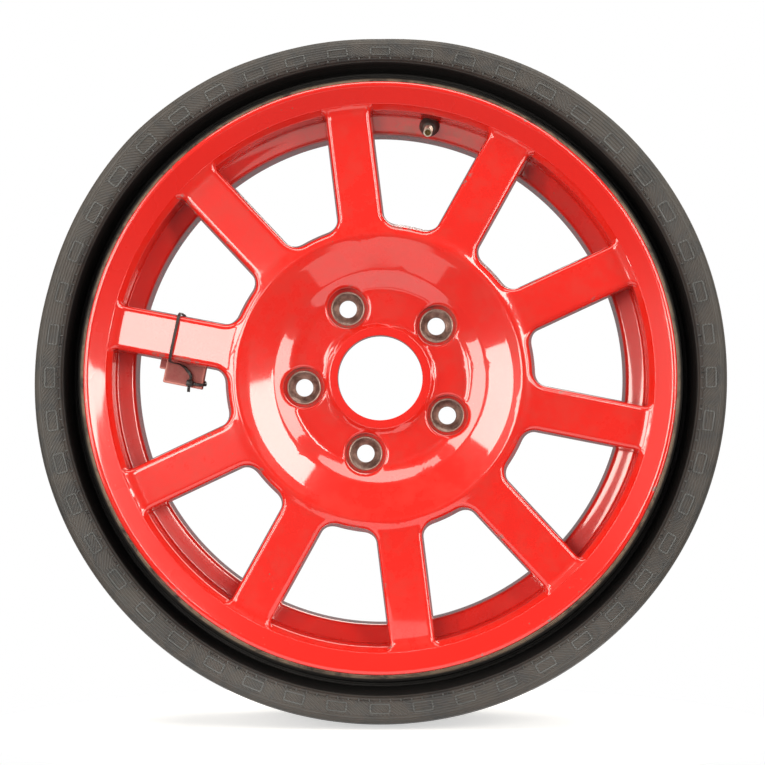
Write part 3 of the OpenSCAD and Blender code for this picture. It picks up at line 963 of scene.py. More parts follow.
@dataclass
class Barrel:
    """The rim: lip, flanges, bead seats and drop centre, as one revolved skin."""

    seat_radius: float = 231.0
    front_y: float = -29.55
    width: float = 165.1
    flange_h: float = 17.5
    lip_w: float = 12.5
    well: float = 17.3
    wall: float = 4.7
    segments: int = 288
    soil_clock: float = 8.0
    soil_spread: float = 24.0

    def outline(self) -> np.ndarray:
        """Draws the closed section.

        Returns:
            Distance from the axle and depth of each point.
        """
        side = [
            (self.flange_h, -self.lip_w, 3.3), (self.flange_h, -self.lip_w + 3.5, 3.0),
            (self.flange_h - 4, 0, 9), (0, 0, 5), (-1.8, 20.5, 0), (0.2, 24.5, 4)]
        front = [(-0.4, -4, 1.2), (-5, 2.5, 3), (-6.5, 23, 2.5), (-self.well - self.wall, 29.5, 5)]
        path = [(self.flange_h - 4, -self.lip_w, 3.0), *side, (-1.5, 29.5, 2.5),
                (-self.well, 36.1, 5), (-self.well, 62, 8), (-3.3, self.width - 62, 8)]
        path += [(h, self.width - d, r) for h, d, r in reversed(side)]
        path += [(self.flange_h - 5, self.width + self.lip_w, 3), (-1, self.width + 3.5, 5),
                 (-8, self.width - 8, 6), (-8, self.width - 58, 8),
                 (-self.well - self.wall, 63.5, 8)]
        path += list(reversed(front))
        line = rounded(path, 9, closed=True) + (self.seat_radius, self.front_y)
        return thinned(line, 6.0)

    def build(self, paint: bpy.types.Material) -> bpy.types.Object:
        """Makes the barrel.

        Args:
            paint: its finish.

        Returns:
            The piece.
        """
        line = self.outline()
        points, uv = spin(line, self.segments)
        clock = np.degrees(np.arctan2(points[..., 0], points[..., 2]))
        h = (line[:, 0] - self.seat_radius)[:, None]
        d = (line[:, 1] - self.front_y)[:, None]
        inside = step(d, 20, 26) * step(-h, 4, 7)
        top = np.exp(-(((clock - self.soil_clock + 180) % 360 - 180) / self.soil_spread) ** 2)
        soil = inside * (0.07 + 0.43 * top)
        low = step(-d, -6, -1) * step(-h, 0.2, 3.5)
        soil = np.maximum(soil, low * 0.12)
        crest = step(h, 16.0, 17.2) * (1 - step(d, 3.0, 6.0)) * step(d, -8.5, -6.0)
        soil = np.maximum(soil, 0.85 * crest)
        edge = step(h, 12.5, 16.5) * step(-d, 8.6, 12.0)
        skin = Skin()
        skin.grid(points, wrap_rows=True, wrap_columns=True, uv=uv, soil=soil, edge=edge)
        return skin.piece("rim_barrel_skin", paint, 40)


@dataclass
class WheelFace:
    """Hub pad, dished bowl and ten straight spokes, cast in one with the barrel."""

    spokes: int = 10
    first_clock: float = -7.0
    half_front: float = 18.6
    shoulder: float = 4.6
    back_round: float = 2.2
    corner: float = 14.0
    edge_radius: float = 127.5
    inner_arc: float = 112.0
    rear_arc: float = 118.0
    spoke_end: float = 221.5
    wall_reach: float = 231.5
    draft: float = 1.4
    hub_draft: float = 3.5
    bolt_radius: float = 65.0
    bolt_clock: float = 47.0
    pocket: float = 17.0
    pocket_round: float = 3.0
    ledge_y: float = -12.6
    hole: float = 14.5
    rear_pocket: float = 11.0
    rear_pocket_depth: float = 8.0
    scoop: float = 9.0
    scoop_radius: float = 106.75
    scoop_y: float = -24.0
    bore: float = 35.8
    pad_in: float = 43.0
    pad_out: float = 96.0
    bore_bevel: float = 2.2
    rear_flat: float = 80.0
    scoop_ring: float = 90.0
    bolts: int = 5
    hub_reach: float = 124.0
    spoke_reach: float = 150.0
    cove_start: float = 220.5
    cove_run: float = 9.5
    cove_rise: float = 3.4
    lip_y: float = -33.0
    flare: float = 5.0
    flare_deg: float = 74.0
    arc_share: float = 0.575
    arc_points: int = 10
    corner_points: int = 8
    side_points: int = 29
    flare_points: int = 7
    pocket_rings: int = 12
    step_deg: float = 2.0
    front_line: np.ndarray = field(init=False)
    rear_line: np.ndarray = field(init=False)
    skin: Skin = field(init=False)

    def __post_init__(self) -> None:
        """Works out the two profiles from the axle outwards."""
        self.front_line = rounded([
            (35.8, -24, 0), (42.8, -24, 1.6), (46.8, -20, 5), (75, -20, 8), (80, -23.5, 3),
            (89, -30.5, 12), (111, -40.8, 12), (120, -44.2, 6), (127.5, -41.5, 20),
            (230.6, -30, 0), (236, -29.4, 0)], 12)
        self.rear_line = rounded([
            (37.8, 0, 0), (78, 0, 1), (80, -2, 1), (94, -6, 10), (131, -14, 12), (224.5, -9.5, 0),
            (236, -9, 0)], 12)
        self.skin = Skin()

    def _along(self, plan: Plan) -> np.ndarray:
        """Distance that sets the height: from the axle in the hub, along the spoke beyond.

        Args:
            plan: places, across and up.

        Returns:
            The distance of each.
        """
        reach = np.hypot(plan[..., 0], plan[..., 1])
        half = math.pi / self.spokes
        on_spoke = np.abs(plan[..., 0]) * math.sin(half) + plan[..., 1] * math.cos(half)
        share = step(reach, self.hub_reach, self.spoke_reach)
        return reach * (1 - share) + on_spoke * share

    def _front(self, plan: Plan) -> np.ndarray:
        """Depth of the front face, with the cove that carries each spoke up to the rim's lip."""
        reach = np.hypot(plan[..., 0], plan[..., 1])
        cove = np.clip((reach - self.cove_start) / self.cove_run, 0, 1)
        return np.interp(self._along(plan), *self.front_line.T) - self.cove_rise * cove**2

    def _rear(self, plan: Plan) -> np.ndarray:
        """Depth of the rear face."""
        return np.interp(self._along(plan), *self.rear_line.T)

    def _edge(self) -> tuple[np.ndarray, np.ndarray, np.ndarray]:
        """Half of one window's edge, from its middle at the hub out to the rim.

        Returns:
            Points, directions into the metal, and share of hub draft.
        """
        half = math.pi / self.spokes
        spoke = np.array((math.sin(half), math.cos(half)))
        side = np.array((-math.cos(half), math.sin(half)))
        offset = self.half_front + self.corner
        middle_reach = self.edge_radius + self.corner
        along = math.sqrt(middle_reach**2 - offset**2)
        middle = along * spoke + offset * side
        tangent = math.atan2(middle[0], middle[1])
        start = math.atan2(-math.cos(tangent), -math.sin(tangent))
        end = math.atan2(-side[1], -side[0])
        arc, turn = self.edge_radius * tangent, self.corner * (end - start)
        total = arc + turn
        split = self.arc_share * total
        stops = np.concatenate([np.linspace(0, split, self.arc_points),
                                np.linspace(split, total, self.corner_points + 1)[1:]])
        points, inward, hub = [], [], []
        for s in stops:
            if s <= arc:
                a = s / self.edge_radius
                out = np.array((math.sin(a), math.cos(a)))
                points.append(out * self.edge_radius)
                inward.append(-out)
            else:
                a = start + (s - arc) / self.corner
                out = np.array((math.cos(a), math.sin(a)))
                points.append(middle + self.corner * out)
                inward.append(out)
            hub.append(1 - float(step(s, arc, total)))
        for t in np.linspace(along, self.spoke_end, self.side_points + 1)[1:]:
            points.append(t * spoke + self.half_front * side)
            inward.append(-side)
            hub.append(0.0)
        centre = self.spoke_end * spoke + (self.half_front + self.flare) * side
        for a in np.radians(np.linspace(0, self.flare_deg, self.flare_points + 1)[1:]):
            out = -side * math.cos(a) + spoke * math.sin(a)
            points.append(centre + self.flare * out)
            inward.append(out)
            hub.append(0.0)
        return np.array(points), np.array(inward), np.array(hub)

    def _anchors(self, arc: float, count: int) -> np.ndarray:
        """Where each edge point's row ends: on an arc round the hub, then on the spoke's middle.

        Args:
            arc: the arc's radius.
            count: points in half an edge.

        Returns:
            The ends of the rows.
        """
        half = math.pi / self.spokes
        spoke = np.array((math.sin(half), math.cos(half)))
        angles = np.radians(np.arange(0, 180 / self.spokes + 0.01, self.step_deg))
        out = [arc * np.array((math.sin(a), math.cos(a))) for a in angles]
        edge, _, _ = self._edge()
        along = edge @ spoke
        corner_end = len(angles) + self.corner_points
        stops = np.linspace(arc, along[corner_end - 1], self.corner_points + 1)[1:]
        out += [t * spoke for t in stops]
        out += [t * spoke for t in along[corner_end:self._straight_end()]]
        flares = count - self._straight_end()
        stops = np.linspace(self.spoke_end, self.wall_reach - 1.5, flares + 1)[1:]
        out += [t * spoke for t in stops]
        return np.array(out)

    def _straight_end(self) -> int:
        """Number of edge points before the flare at the rim."""
        return self.arc_points + self.corner_points + self.side_points

    @staticmethod
    def _mirrored(half: np.ndarray) -> np.ndarray:
        """A half pattern joined to its mirror image, along its second axis."""
        other = half[:, :0:-1].copy()
        other[..., 0] *= -1
        return np.concatenate([other, half], axis=1)

    def _window_rows(self) -> tuple[np.ndarray, np.ndarray, np.ndarray]:
        """Rows of half a sector: front arc, shoulder, wall and rear.

        Returns:
            Points by row and half edge, chips share and soil share.
        """
        edge, inward, hub = self._edge()
        count = len(edge)
        front_ends = self._anchors(self.inner_arc, count)
        rear_ends = self._anchors(self.rear_arc, count)
        rows, chips, soil = [], [], []

        def add(plan: Plan, depth: np.ndarray, chip: float, dirt: float) -> None:
            """Keeps one row."""
            rows.append(np.stack([plan[:, 0], depth, plan[:, 1]], axis=-1))
            chips.append(np.full(count, chip))
            soil.append(np.full(count, dirt))

        inner = edge + inward * self.shoulder
        for share in np.linspace(0, 1, 15)[:-1]:
            plan = front_ends * (1 - share) + inner * share
            add(plan, self._front(plan), 0.0, 0.10)
        for angle in np.radians(np.linspace(90, 0, 10)):
            plan = edge + inward * self.shoulder * (1 - math.cos(angle))
            depth = self._front(plan) + self.shoulder * (1 - math.sin(angle))
            add(plan, depth, 0.7 * math.sin(angle * 2), 0.05)
        spread = self.draft + (self.hub_draft - self.draft) * hub
        top = self._front(edge) + self.shoulder
        for share in np.linspace(0, 1, 7)[1:]:
            plan = edge - inward * (spread * share)[:, None]
            bottom = self._rear(plan) - self.back_round
            add(plan, top + (bottom - top) * share, 0.0, 0.28 * share)
        for angle in np.radians(np.linspace(0, 90, 6)[1:]):
            plan = edge - inward * (spread - self.back_round * (1 - math.cos(angle)))[:, None]
            add(plan, self._rear(plan) - self.back_round * (1 - math.sin(angle)), 0.1, 0.3)
        last = edge - inward * (spread - self.back_round)[:, None]
        for share in np.linspace(0, 1, 9)[1:]:
            plan = last * (1 - share) + rear_ends * share
            add(plan, self._rear(plan), 0.0, 0.25)
        grid, chip, dirt = np.array(rows), np.array(chips), np.array(soil)
        tail = grid[:, -1:].copy()
        reach = np.hypot(tail[..., 0], tail[..., 2])[..., None]
        tail[..., ::2] *= self.wall_reach / reach
        tail[..., 1] = np.maximum(tail[..., 1], self.lip_y)
        grid = np.concatenate([grid, tail], axis=1)
        return grid, np.pad(chip, ((0, 0), (0, 1))), np.pad(dirt, ((0, 0), (0, 1)))

    def _windows(self) -> None:
        """Adds the ten sectors of spoke and window."""
        grid, chip, dirt = self._window_rows()
        whole = self._mirrored(grid)
        chip = np.concatenate([chip[:, :0:-1], chip], axis=1)
        dirt = np.concatenate([dirt[:, :0:-1], dirt], axis=1)
        step_clock = 360 / self.spokes
        for i in range(self.spokes):
            clock = self.first_clock + (i + 0.5) * step_clock
            self.skin.grid(at_clock(whole, clock), edge=chip, soil=dirt)

    def _sector_loop(self, near: float, far: float, half_deg: float, side_steps: int) -> np.ndarray:
        """Closed loop round a sector of a ring.

        Args:
            near: inner radius.
            far: outer radius.
            half_deg: half of its angle.
            side_steps: steps along each side.

        Returns:
            The points in plan: outer arc, side, inner arc, side.
        """
        turns = np.radians(np.arange(-half_deg, half_deg + 0.01, self.step_deg))
        outer = far * np.stack([np.sin(turns), np.cos(turns)], axis=1)
        inner = near * np.stack([np.sin(turns), np.cos(turns)], axis=1)[::-1]
        shares = np.linspace(0, 1, side_steps + 1)[1:-1, None]
        down = outer[-1] * (1 - shares) + inner[0] * shares
        up = inner[-1] * (1 - shares) + outer[0] * shares
        return np.concatenate([outer, down, inner, up])

    @staticmethod
    def _circle_towards(loop: np.ndarray, radius: float, centre: np.ndarray) -> np.ndarray:
        """Points of a circle, each in the direction of one point of a loop round it."""
        away = loop - centre
        return centre + away / np.linalg.norm(away, axis=1)[:, None] * radius

    def _holed_sector(self, loop: np.ndarray, middle: float, radius: float, round_r: float,
                      height: Callable[[Plan], np.ndarray], floor: float, toward: float,
                      rings: int) -> list[np.ndarray]:
        """Rows from a sector's loop in to a round pocket, over its rounded rim and down its wall.

        Args:
            loop: the sector's loop.
            middle: distance of the pocket's centre from the axle.
            radius: the pocket's radius.
            round_r: radius of its rim.
            height: depth of the surface at a place.
            floor: depth of the pocket's floor.
            toward: 1 where the pocket leads backwards, and -1 where it leads forwards.
            rings: rows between the loop and the rim.

        Returns:
            The rows, from the loop to the foot of the pocket's wall.
        """
        centre = np.array((0.0, middle))
        rim = self._circle_towards(loop, radius + round_r, centre)
        rows = []
        for share in np.linspace(0, 1, rings + 1):
            plan = loop * (1 - share) + rim * share
            rows.append(np.stack([plan[:, 0], height(plan), plan[:, 1]], axis=-1))
        for angle in np.radians(np.linspace(90, 0, 7)[1:]):
            plan = self._circle_towards(loop, radius + round_r * (1 - math.cos(angle)), centre)
            drop = toward * round_r * (1 - math.sin(angle))
            rows.append(np.stack([plan[:, 0], height(plan) + drop, plan[:, 1]], axis=-1))
        wall = rows[-1]
        for share in (0.5, 1.0):
            row = wall.copy()
            row[:, 1] = wall[:, 1] * (1 - share) + floor * share
            rows.append(row)
        return rows

    def _circle_row(self, loop: np.ndarray, middle: float, radius: float,
                    depth: float) -> np.ndarray:
        """One row of points round a pocket's centre at a depth."""
        plan = self._circle_towards(loop, radius, np.array((0.0, middle)))
        return np.stack([plan[:, 0], np.full(len(plan), depth), plan[:, 1]], axis=-1)

    def _hub(self) -> None:
        """Adds the pad, its bolt pockets, the bowl, the bore and the rear of the hub."""
        skin = self.skin
        half_bolt, half_spoke = 180 / self.bolts, 180 / self.spokes
        front_loop = self._sector_loop(self.pad_in, self.pad_out, half_bolt, 12)
        pocket_rows = self._holed_sector(front_loop, self.bolt_radius, self.pocket,
                                         self.pocket_round, self._front, self.ledge_y, 1,
                                         self.pocket_rings)
        pocket_rows.append(self._circle_row(front_loop, self.bolt_radius, self.hole, self.ledge_y))
        rear_loop = self._sector_loop(self.bore + self.bore_bevel, self.rear_flat, half_spoke, 8)
        bolt_rear = self._holed_sector(rear_loop, self.bolt_radius, self.hole, 0.6, self._rear,
                                       -1.2, -1, 5)
        blind_rear = self._holed_sector(rear_loop, self.bolt_radius, self.rear_pocket, 1.0,
                                        self._rear, -self.rear_pocket_depth, -1, 5)
        scoop_loop = self._sector_loop(self.scoop_ring, self.rear_arc, half_spoke, 8)
        scoop = self._holed_sector(scoop_loop, self.scoop_radius, self.scoop, 1.2, self._rear,
                                   self.scoop_y, -1, 5)
        rows = np.array(pocket_rows)
        first_rim = self.pocket_rings + 1
        wall_and_ledge, rim_top = slice(-4, None), slice(first_rim, first_rim + 4)
        dirt = np.full(rows.shape[:2], 0.10)
        dirt[wall_and_ledge] = 0.55
        chip = np.zeros(rows.shape[:2])
        chip[rim_top] = 0.35
        for i in range(self.bolts):
            clock = self.bolt_clock + 2 * half_bolt * i
            skin.grid(at_clock(rows, clock), wrap_columns=True, soil=dirt, edge=chip)
            centre = at_clock(np.array([(0.0, 0.0, self.bolt_radius)]), clock)[0]
            skin.grid(at_clock(np.array(bolt_rear), clock), wrap_columns=True)
            skin.zipper(at_clock(pocket_rows[-1], clock), at_clock(bolt_rear[-1], clock), centre)
            blind = at_clock(np.array(blind_rear), clock + half_bolt)
            skin.grid(blind, wrap_columns=True)
            skin.fan(blind[-1])
        for i in range(self.spokes):
            hollow = at_clock(np.array(scoop), self.first_clock + (2 * i + 1) * half_spoke)
            skin.grid(hollow, wrap_columns=True)
            skin.fan(hollow[-1])
        clock = np.radians(np.arange(0, 360, self.step_deg) + self.first_clock + half_spoke)
        self._rings(np.linspace(self.pad_out, self.inner_arc, 11), self.front_line, clock)
        self._rings(np.linspace(self.rear_flat, self.scoop_ring, 9), self.rear_line, clock)
        lip = self.front_line[self.front_line[:, 0] < self.pad_in - 0.05]
        lip = np.concatenate([lip, [(self.pad_in, np.interp(self.pad_in, *self.front_line.T))]])
        bore = np.array([
            (self.bore + self.bore_bevel, 0.0), (self.bore + 1.9, 0.0), (self.bore, -2.0),
            (self.bore, -9.0), (self.bore, -16.0), (self.bore, -23.4), (self.bore + 0.6, -24.0)])
        line = np.concatenate([bore, lip[1:]])
        reach, turn = np.meshgrid(line[:, 0], clock, indexing="ij")
        depth = np.repeat(line[:, 1][:, None], len(clock), axis=1)
        soil = np.repeat(step(-np.arange(len(line)), -6, -2)[:, None] * 0.5, len(clock), axis=1)
        skin.grid(round_wheel(reach, turn, depth), wrap_columns=True, soil=soil)

    def _rings(self, reaches: np.ndarray, line: np.ndarray, clock: np.ndarray) -> None:
        """Adds full rings at a row of distances from the axle.

        Args:
            reaches: the distances.
            line: profile that gives their depth.
            clock: angles of their points.
        """
        reach, turn = np.meshgrid(reaches, clock, indexing="ij")
        depth = np.interp(reach, *line.T)
        soil = np.full(reach.shape, 0.10)
        self.skin.grid(round_wheel(reach, turn, depth), wrap_columns=True, soil=soil)

    def build(self, paint: bpy.types.Material) -> bpy.types.Object:
        """Makes the hub and spokes.

        Args:
            paint: their finish.

        Returns:
            The piece.
        """
        self._hub()
        self._windows()
        return self.skin.piece("wheel_face_skin", paint, 42, weld=0.01)


@dataclass
class BoltSeats:
    """Five bare turned rings with ball seats, let into the hub pad."""

    outer: float = 14.5
    mouth: float = 13.0
    ball: float = 14.0
    hole: float = 7.5
    thick: float = 12.6
    count: int = 5
    circle: float = 65.0
    clock: float = 47.0
    sides: int = 64

    def build(self, steel: bpy.types.Material, copier: RadialArray) -> bpy.types.Object:
        """Makes the seats.

        Args:
            steel: their finish.
            copier: the tree that repeats them.

        Returns:
            The piece.
        """
        middle = -self.thick - math.sqrt(self.ball**2 - self.mouth**2)
        reaches = np.linspace(self.mouth - 0.3, self.hole + 0.3, 12)
        bowl = [(r, middle + math.sqrt(self.ball**2 - r**2)) for r in reaches]
        line = [(self.outer, 0.0), (self.outer, -self.thick + 0.5), (self.outer - 0.5, -self.thick),
                (self.mouth + 0.1, -self.thick), *bowl, (self.hole, bowl[-1][1] + 0.5),
                (self.hole, -0.4), (self.hole + 0.4, 0.0)]
        line = np.array(line)
        turn = np.arange(self.sides) * math.tau / self.sides
        reach, angle = np.meshgrid(line[:, 0], turn, indexing="ij")
        depth = np.repeat(line[:, 1][:, None], self.sides, axis=1)
        points = np.stack([reach * np.cos(angle), depth, reach * np.sin(angle)], axis=-1)
        skin = Skin()
        skin.grid(points, wrap_rows=True, wrap_columns=True, track=reach * MM)
        ring = skin.piece("seat_ring", steel, 30)
        mesh = copier.copies("bolt_seat_rings", ring, steel, self.count, self.circle, self.clock)
        return shown("bolt_seat_rings", mesh, steel, 30)


# ---------------------------------------------------------------- the tyre


@dataclass
class FoldedTyre:
    """The uninflated tyre, folded in behind its front and rear rings."""

    seat_radius: float = 231.0
    front_y: float = -29.55
    width: float = 165.1
    height: float = 64.0
    fold: float = 42.0
    ply: float = 1.2
    wall: float = 3.0
    grooves: int = 4
    groove_w: float = 6.0
    groove_d: float = 5.0
    segments: int = 360
    ring_reach: float = 275.0
    sag_clocks: tuple[float, ...] = (
        0, 15, 30, 45, 60, 90, 130, 165, 180, 215, 255, 285, 315, 330, 345)
    sags: tuple[float, ...] = (
        -4.6, -1.6, 1.0, 2.0, 1.6, 0.2, 0.0, -0.8, -0.8, 0.3, 1.3, -0.8, 2.2, 0.4, -2.8)
    sag_width: float = 9.0
    sag_pull: float = 0.4
    shoulder_drop: float = 2.6
    line_y: float = 2.5
    panels: int = 48
    panel_reach: float = 279.0
    ribs: int = 192
    rib_reach: float = 270.6
    nibs: int = 46
    nib_reach: float = 270.4
    nib_start: float = 3.0
    nib_spread: float = 0.42
    nib_seed: int = 11

    @property
    def crown(self) -> float:
        """Height of the carcass line under the tread."""
        return self.height - 10

    @property
    def ring_end(self) -> float:
        """Height at which the sidewall meets the tread."""
        return self.crown - 9

    @property
    def outer_ply(self) -> float:
        """Distance from the carcass line to the outside of its plies."""
        return self.ply - 0.2

    @property
    def side(self) -> float:
        """Depth of the sidewall's outer face."""
        return self.line_y - (self.outer_ply + self.wall)

    def _sag(self, clock: np.ndarray) -> np.ndarray:
        """How far the tyre stands out of round.

        Args:
            clock: angles in radians.

        Returns:
            The distance outwards, in millimetres.
        """
        where = np.degrees(clock) % 360
        known = np.array(self.sag_clocks, float)
        know = np.concatenate([known - 360, known, known + 360])
        sag = np.tile(self.sags, 3)
        gap = np.abs(where[..., None] - know)
        order = np.interp(where, know, sag)
        weight = np.exp(-((gap / self.sag_width) ** 2)) + 1e-9
        near = (weight * sag).sum(-1) / weight.sum(-1)
        share = np.clip(weight.max(-1), 0, 1)
        return order * (1 - share * self.sag_pull) + near * share * self.sag_pull

    def _warp(self, reach: np.ndarray, clock: np.ndarray,
              depth: np.ndarray) -> tuple[np.ndarray, ...]:
        """Lets the outer part of the tyre hang out of round.

        Args:
            reach: distances from the axle.
            clock: angles.
            depth: places along Y.

        Returns:
            The three, changed.
        """
        h = reach - self.seat_radius
        d = depth - self.front_y
        edge = 1 - step(np.minimum(d, self.width - d), 2, 26)
        share = step(h, 34, 62)
        out = reach + share * (self._sag(clock) - self.shoulder_drop * edge)
        ripple = (0.5 * np.sin(3 * clock + 0.7) + 0.35 * np.sin(7 * clock + 2.1)
                  + 0.15 * np.sin(17 * clock))
        away = np.sign(d - self.width / 2)
        return out, clock, depth - away * share * edge * (0.35 + 0.5 * ripple)

    def _carcass(self, offset: float) -> np.ndarray:
        """Half of the carcass line, moved outwards.

        Args:
            offset: how far it is moved.

        Returns:
            Height over the bead seat and depth of each point.
        """
        path = [(13, 6.5, 0), (20, 6.5, 6.3), (24, self.fold, 5), (35, self.fold, 5),
                (39.5, self.line_y, 6), (self.crown, self.line_y, 9),
                (self.crown, self.width / 2, 0)]
        flat = np.array([p[:2] for p in path], float)
        moved = []
        for i, (u, v, radius) in enumerate(path):
            a = flat[max(i, 1)] - flat[max(i, 1) - 1]
            b = flat[min(i + 1, len(flat) - 1)] - flat[min(i + 1, len(flat) - 1) - 1]
            m = np.array((a[1], -a[0])) / np.linalg.norm(a)
            n = np.array((b[1], -b[0])) / np.linalg.norm(b)
            shift = (m + n) * offset / (1 + m @ n)
            bend = np.sign(a[0] * b[1] - a[1] * b[0])
            moved.append((u + shift[0], v + shift[1], radius + bend * offset if radius else 0))
        return rounded(moved, 9)

    def _placed(self, line: np.ndarray, rear: bool = False) -> np.ndarray:
        """Heights and depths turned into distances from the axle and Y."""
        depth = self.width - line[:, 1] if rear else line[:, 1]
        return np.stack([self.seat_radius + line[:, 0], self.front_y + depth], axis=1)

    def _sidewall(self) -> np.ndarray:
        """Closed section of one sidewall's rubber.

        Returns:
            Height and depth of each point.
        """
        def kept(line: np.ndarray) -> np.ndarray:
            """Points between the bead and the ring's outer part."""
            beyond = (line[:, 0] > self.ring_end) & (line[:, 1] < 10)
            return line[~beyond & (line[:, 0] <= self.crown - 4)]

        inner, outer = self.outer_ply, self.outer_ply + self.wall
        bead_back, bead_face = (9.0, 2.3), (9.0, 0.0)
        return np.concatenate([
            [bead_back], kept(self._carcass(inner)), [(self.ring_end, self.line_y - inner)],
            [(self.ring_end, self.line_y - outer)], kept(self._carcass(outer))[::-1], [bead_face]])

    def _tread(self) -> np.ndarray:
        """Closed section of the tread rubber.

        Returns:
            Height and depth of each point.
        """
        half, top = self.width / 2, self.height - 1.2
        shoulder = rounded([(self.ring_end, self.side, 0), (top, self.side, 7), (top, 12, 0)], 10)

        def crown(d: float) -> float:
            """Height of the crown at a depth."""
            return self.height - 1.2 * (abs(d - half) / (half - 10)) ** 2

        line = list(shoulder)
        for i in range(self.grooves):
            middle = half + (i - (self.grooves - 1) / 2) * self.width * 0.17
            height = crown(middle)
            for d, deep in ((-1, 0), (-0.8, 1), (0.8, 1), (1, 0)):
                line.append((height - deep * self.groove_d, middle + d * self.groove_w / 2))
        mirrored = np.stack([shoulder[:, 0], self.width - shoulder[:, 1]], axis=1)[::-1]
        outer = np.concatenate([line, mirrored])
        inner = self._carcass(self.outer_ply)
        inner = inner[(inner[:, 0] >= self.ring_end) & (inner[:, 1] < 14)]
        foot, plies = (self.ring_end, self.line_y - self.outer_ply), self.crown + self.outer_ply
        inner = np.concatenate([[foot], inner, [(plies, 14), (plies + self.ply, 14)]])
        back = np.stack([inner[:, 0], self.width - inner[:, 1]], axis=1)[::-1]
        return np.concatenate([inner, back, outer[::-1]])

    def _turned(self, name: str, line: np.ndarray, rubber: bpy.types.Material,
                dusty: float) -> bpy.types.Object:
        """One rubber piece from its closed section.

        Args:
            name: the piece's name.
            line: distance from the axle and Y of each point.
            rubber: its finish.
            dusty: share of dust on its lower, inward parts.

        Returns:
            The piece.
        """
        dense = thinned(line, 3.5)
        points, uv = spin(dense, self.segments, self._warp)
        uv[..., 0] *= self.ring_reach / dense[:, 0].mean()
        h = (dense[:, 0] - self.seat_radius)[:, None] * np.ones(self.segments)
        d = dense[:, 1] - self.front_y
        d = np.minimum(d, self.width - d)[:, None]
        # painted shade: inside marks the fold's valley behind the flange, rim marks the tread's
        # shoulder; the shade field darkens both
        inside = step(h, 14, 17) * (1 - step(h, 35.5, 38.0)) * np.ones(self.segments)
        rim = step(h, 56.5, 60.5) * (d < 9)
        soil = dusty * (1 - step(h, 20.5, 23.0)) * (1 - step(d, 8, 13)) + 0.10 * (1 - inside)
        skin = Skin()
        skin.grid(points, wrap_rows=True, wrap_columns=True, uv=uv, height=h * MM,
                  face=1 - step(d, 4.0, 8.0), soil=soil, shade=np.maximum(inside, 0.45 * rim))
        return skin.piece(name, rubber, 42)

    @staticmethod
    def _rib(length: float, wide: float, high: float,
             rubber: bpy.types.Material) -> bpy.types.Object:
        """A short moulded rib, as it stands at twelve o'clock on the front ring.

        Args:
            length: its length.
            wide: its width.
            high: its height.
            rubber: its finish.

        Returns:
            The shape, to be copied.
        """
        skin = Skin()
        across = np.array([(-1, 1.2), (-0.82, 0.0), (-0.45, -1.0), (0.45, -1.0), (0.82, 0.0),
                           (1, 1.2)])
        rows = []
        for z, grow in ((-0.5, 0.5), (-0.42, 1.0), (0.42, 1.0), (0.5, 0.5)):
            rows.append([(x * wide / 2 * grow, y * high * (grow if y < 0 else 1), z * length)
                         for x, y in across])
        skin.grid(np.array(rows), wrap_columns=True)
        skin.fan(np.array(rows[0]))
        skin.fan(np.array(rows[-1]))
        return skin.piece("rib_source", rubber, 50)

    @staticmethod
    def _panel(wide: float, tall: float, rubber: bpy.types.Material) -> bpy.types.Object:
        """A raised outline, as it stands at twelve o'clock on the front ring.

        Args:
            wide: its width.
            tall: its height.
            rubber: its finish.

        Returns:
            The shape, to be copied.
        """
        bar, high, corner = 1.7, 0.6, 2.4
        rows = []
        for inset, lift in ((0.0, 0.6), (0.15, -high * 0.6), (0.45, -high), (bar - 0.45, -high),
                            (bar - 0.15, -high * 0.6), (bar, 0.6)):
            x, z = wide / 2 - inset, tall / 2 - inset
            soft = corner - inset
            line = rounded([(-x, -z, soft), (x, -z, soft), (x, z, soft), (-x, z, soft)], 3,
                           closed=True)
            rows.append(np.stack([line[:, 0], np.full(len(line), lift), line[:, 1]], axis=-1))
        skin = Skin()
        skin.grid(np.array(rows), wrap_rows=True, wrap_columns=True)
        return skin.piece("panel_source", rubber, 50)

    @staticmethod
    def _nib(rubber: bpy.types.Material) -> bpy.types.Object:
        """A thin moulding nib that stands off the fold's edge.

        Args:
            rubber: its finish.

        Returns:
            The shape, to be copied.
        """
        skin = Skin()
        sides = 8
        turn = np.arange(sides) * math.tau / sides
        rows = []
        for depth, radius in ((1.0, 0.62), (-0.6, 0.5), (-2.2, 0.34), (-3.0, 0.16)):
            rows.append(np.stack([radius * np.cos(turn), np.full(sides, depth),
                                  radius * np.sin(turn)], axis=-1))
        skin.grid(np.array(rows), wrap_columns=True)
        skin.fan(rows[0])
        skin.fan(rows[-1])
        return skin.piece("nib_source", rubber, 60)

    def _follow(self, mesh: bpy.types.Mesh, depth: float) -> None:
        """Moves copied details to the ring's face, where the tyre hangs out of round.

        Args:
            mesh: the copies.
            depth: the face's place along Y.
        """
        flat = np.zeros(len(mesh.vertices) * 3)
        mesh.vertices.foreach_get("co", flat)
        co = flat.reshape(-1, 3) / MM
        reach, clock = np.hypot(co[:, 0], co[:, 2]), np.arctan2(co[:, 0], co[:, 2])
        face = np.full(len(co), depth)
        out, clock, y = self._warp(reach, clock, face)
        moved = round_wheel(out, clock, y + co[:, 1]) * MM
        mesh.vertices.foreach_set("co", moved.reshape(-1))
        mesh.update()

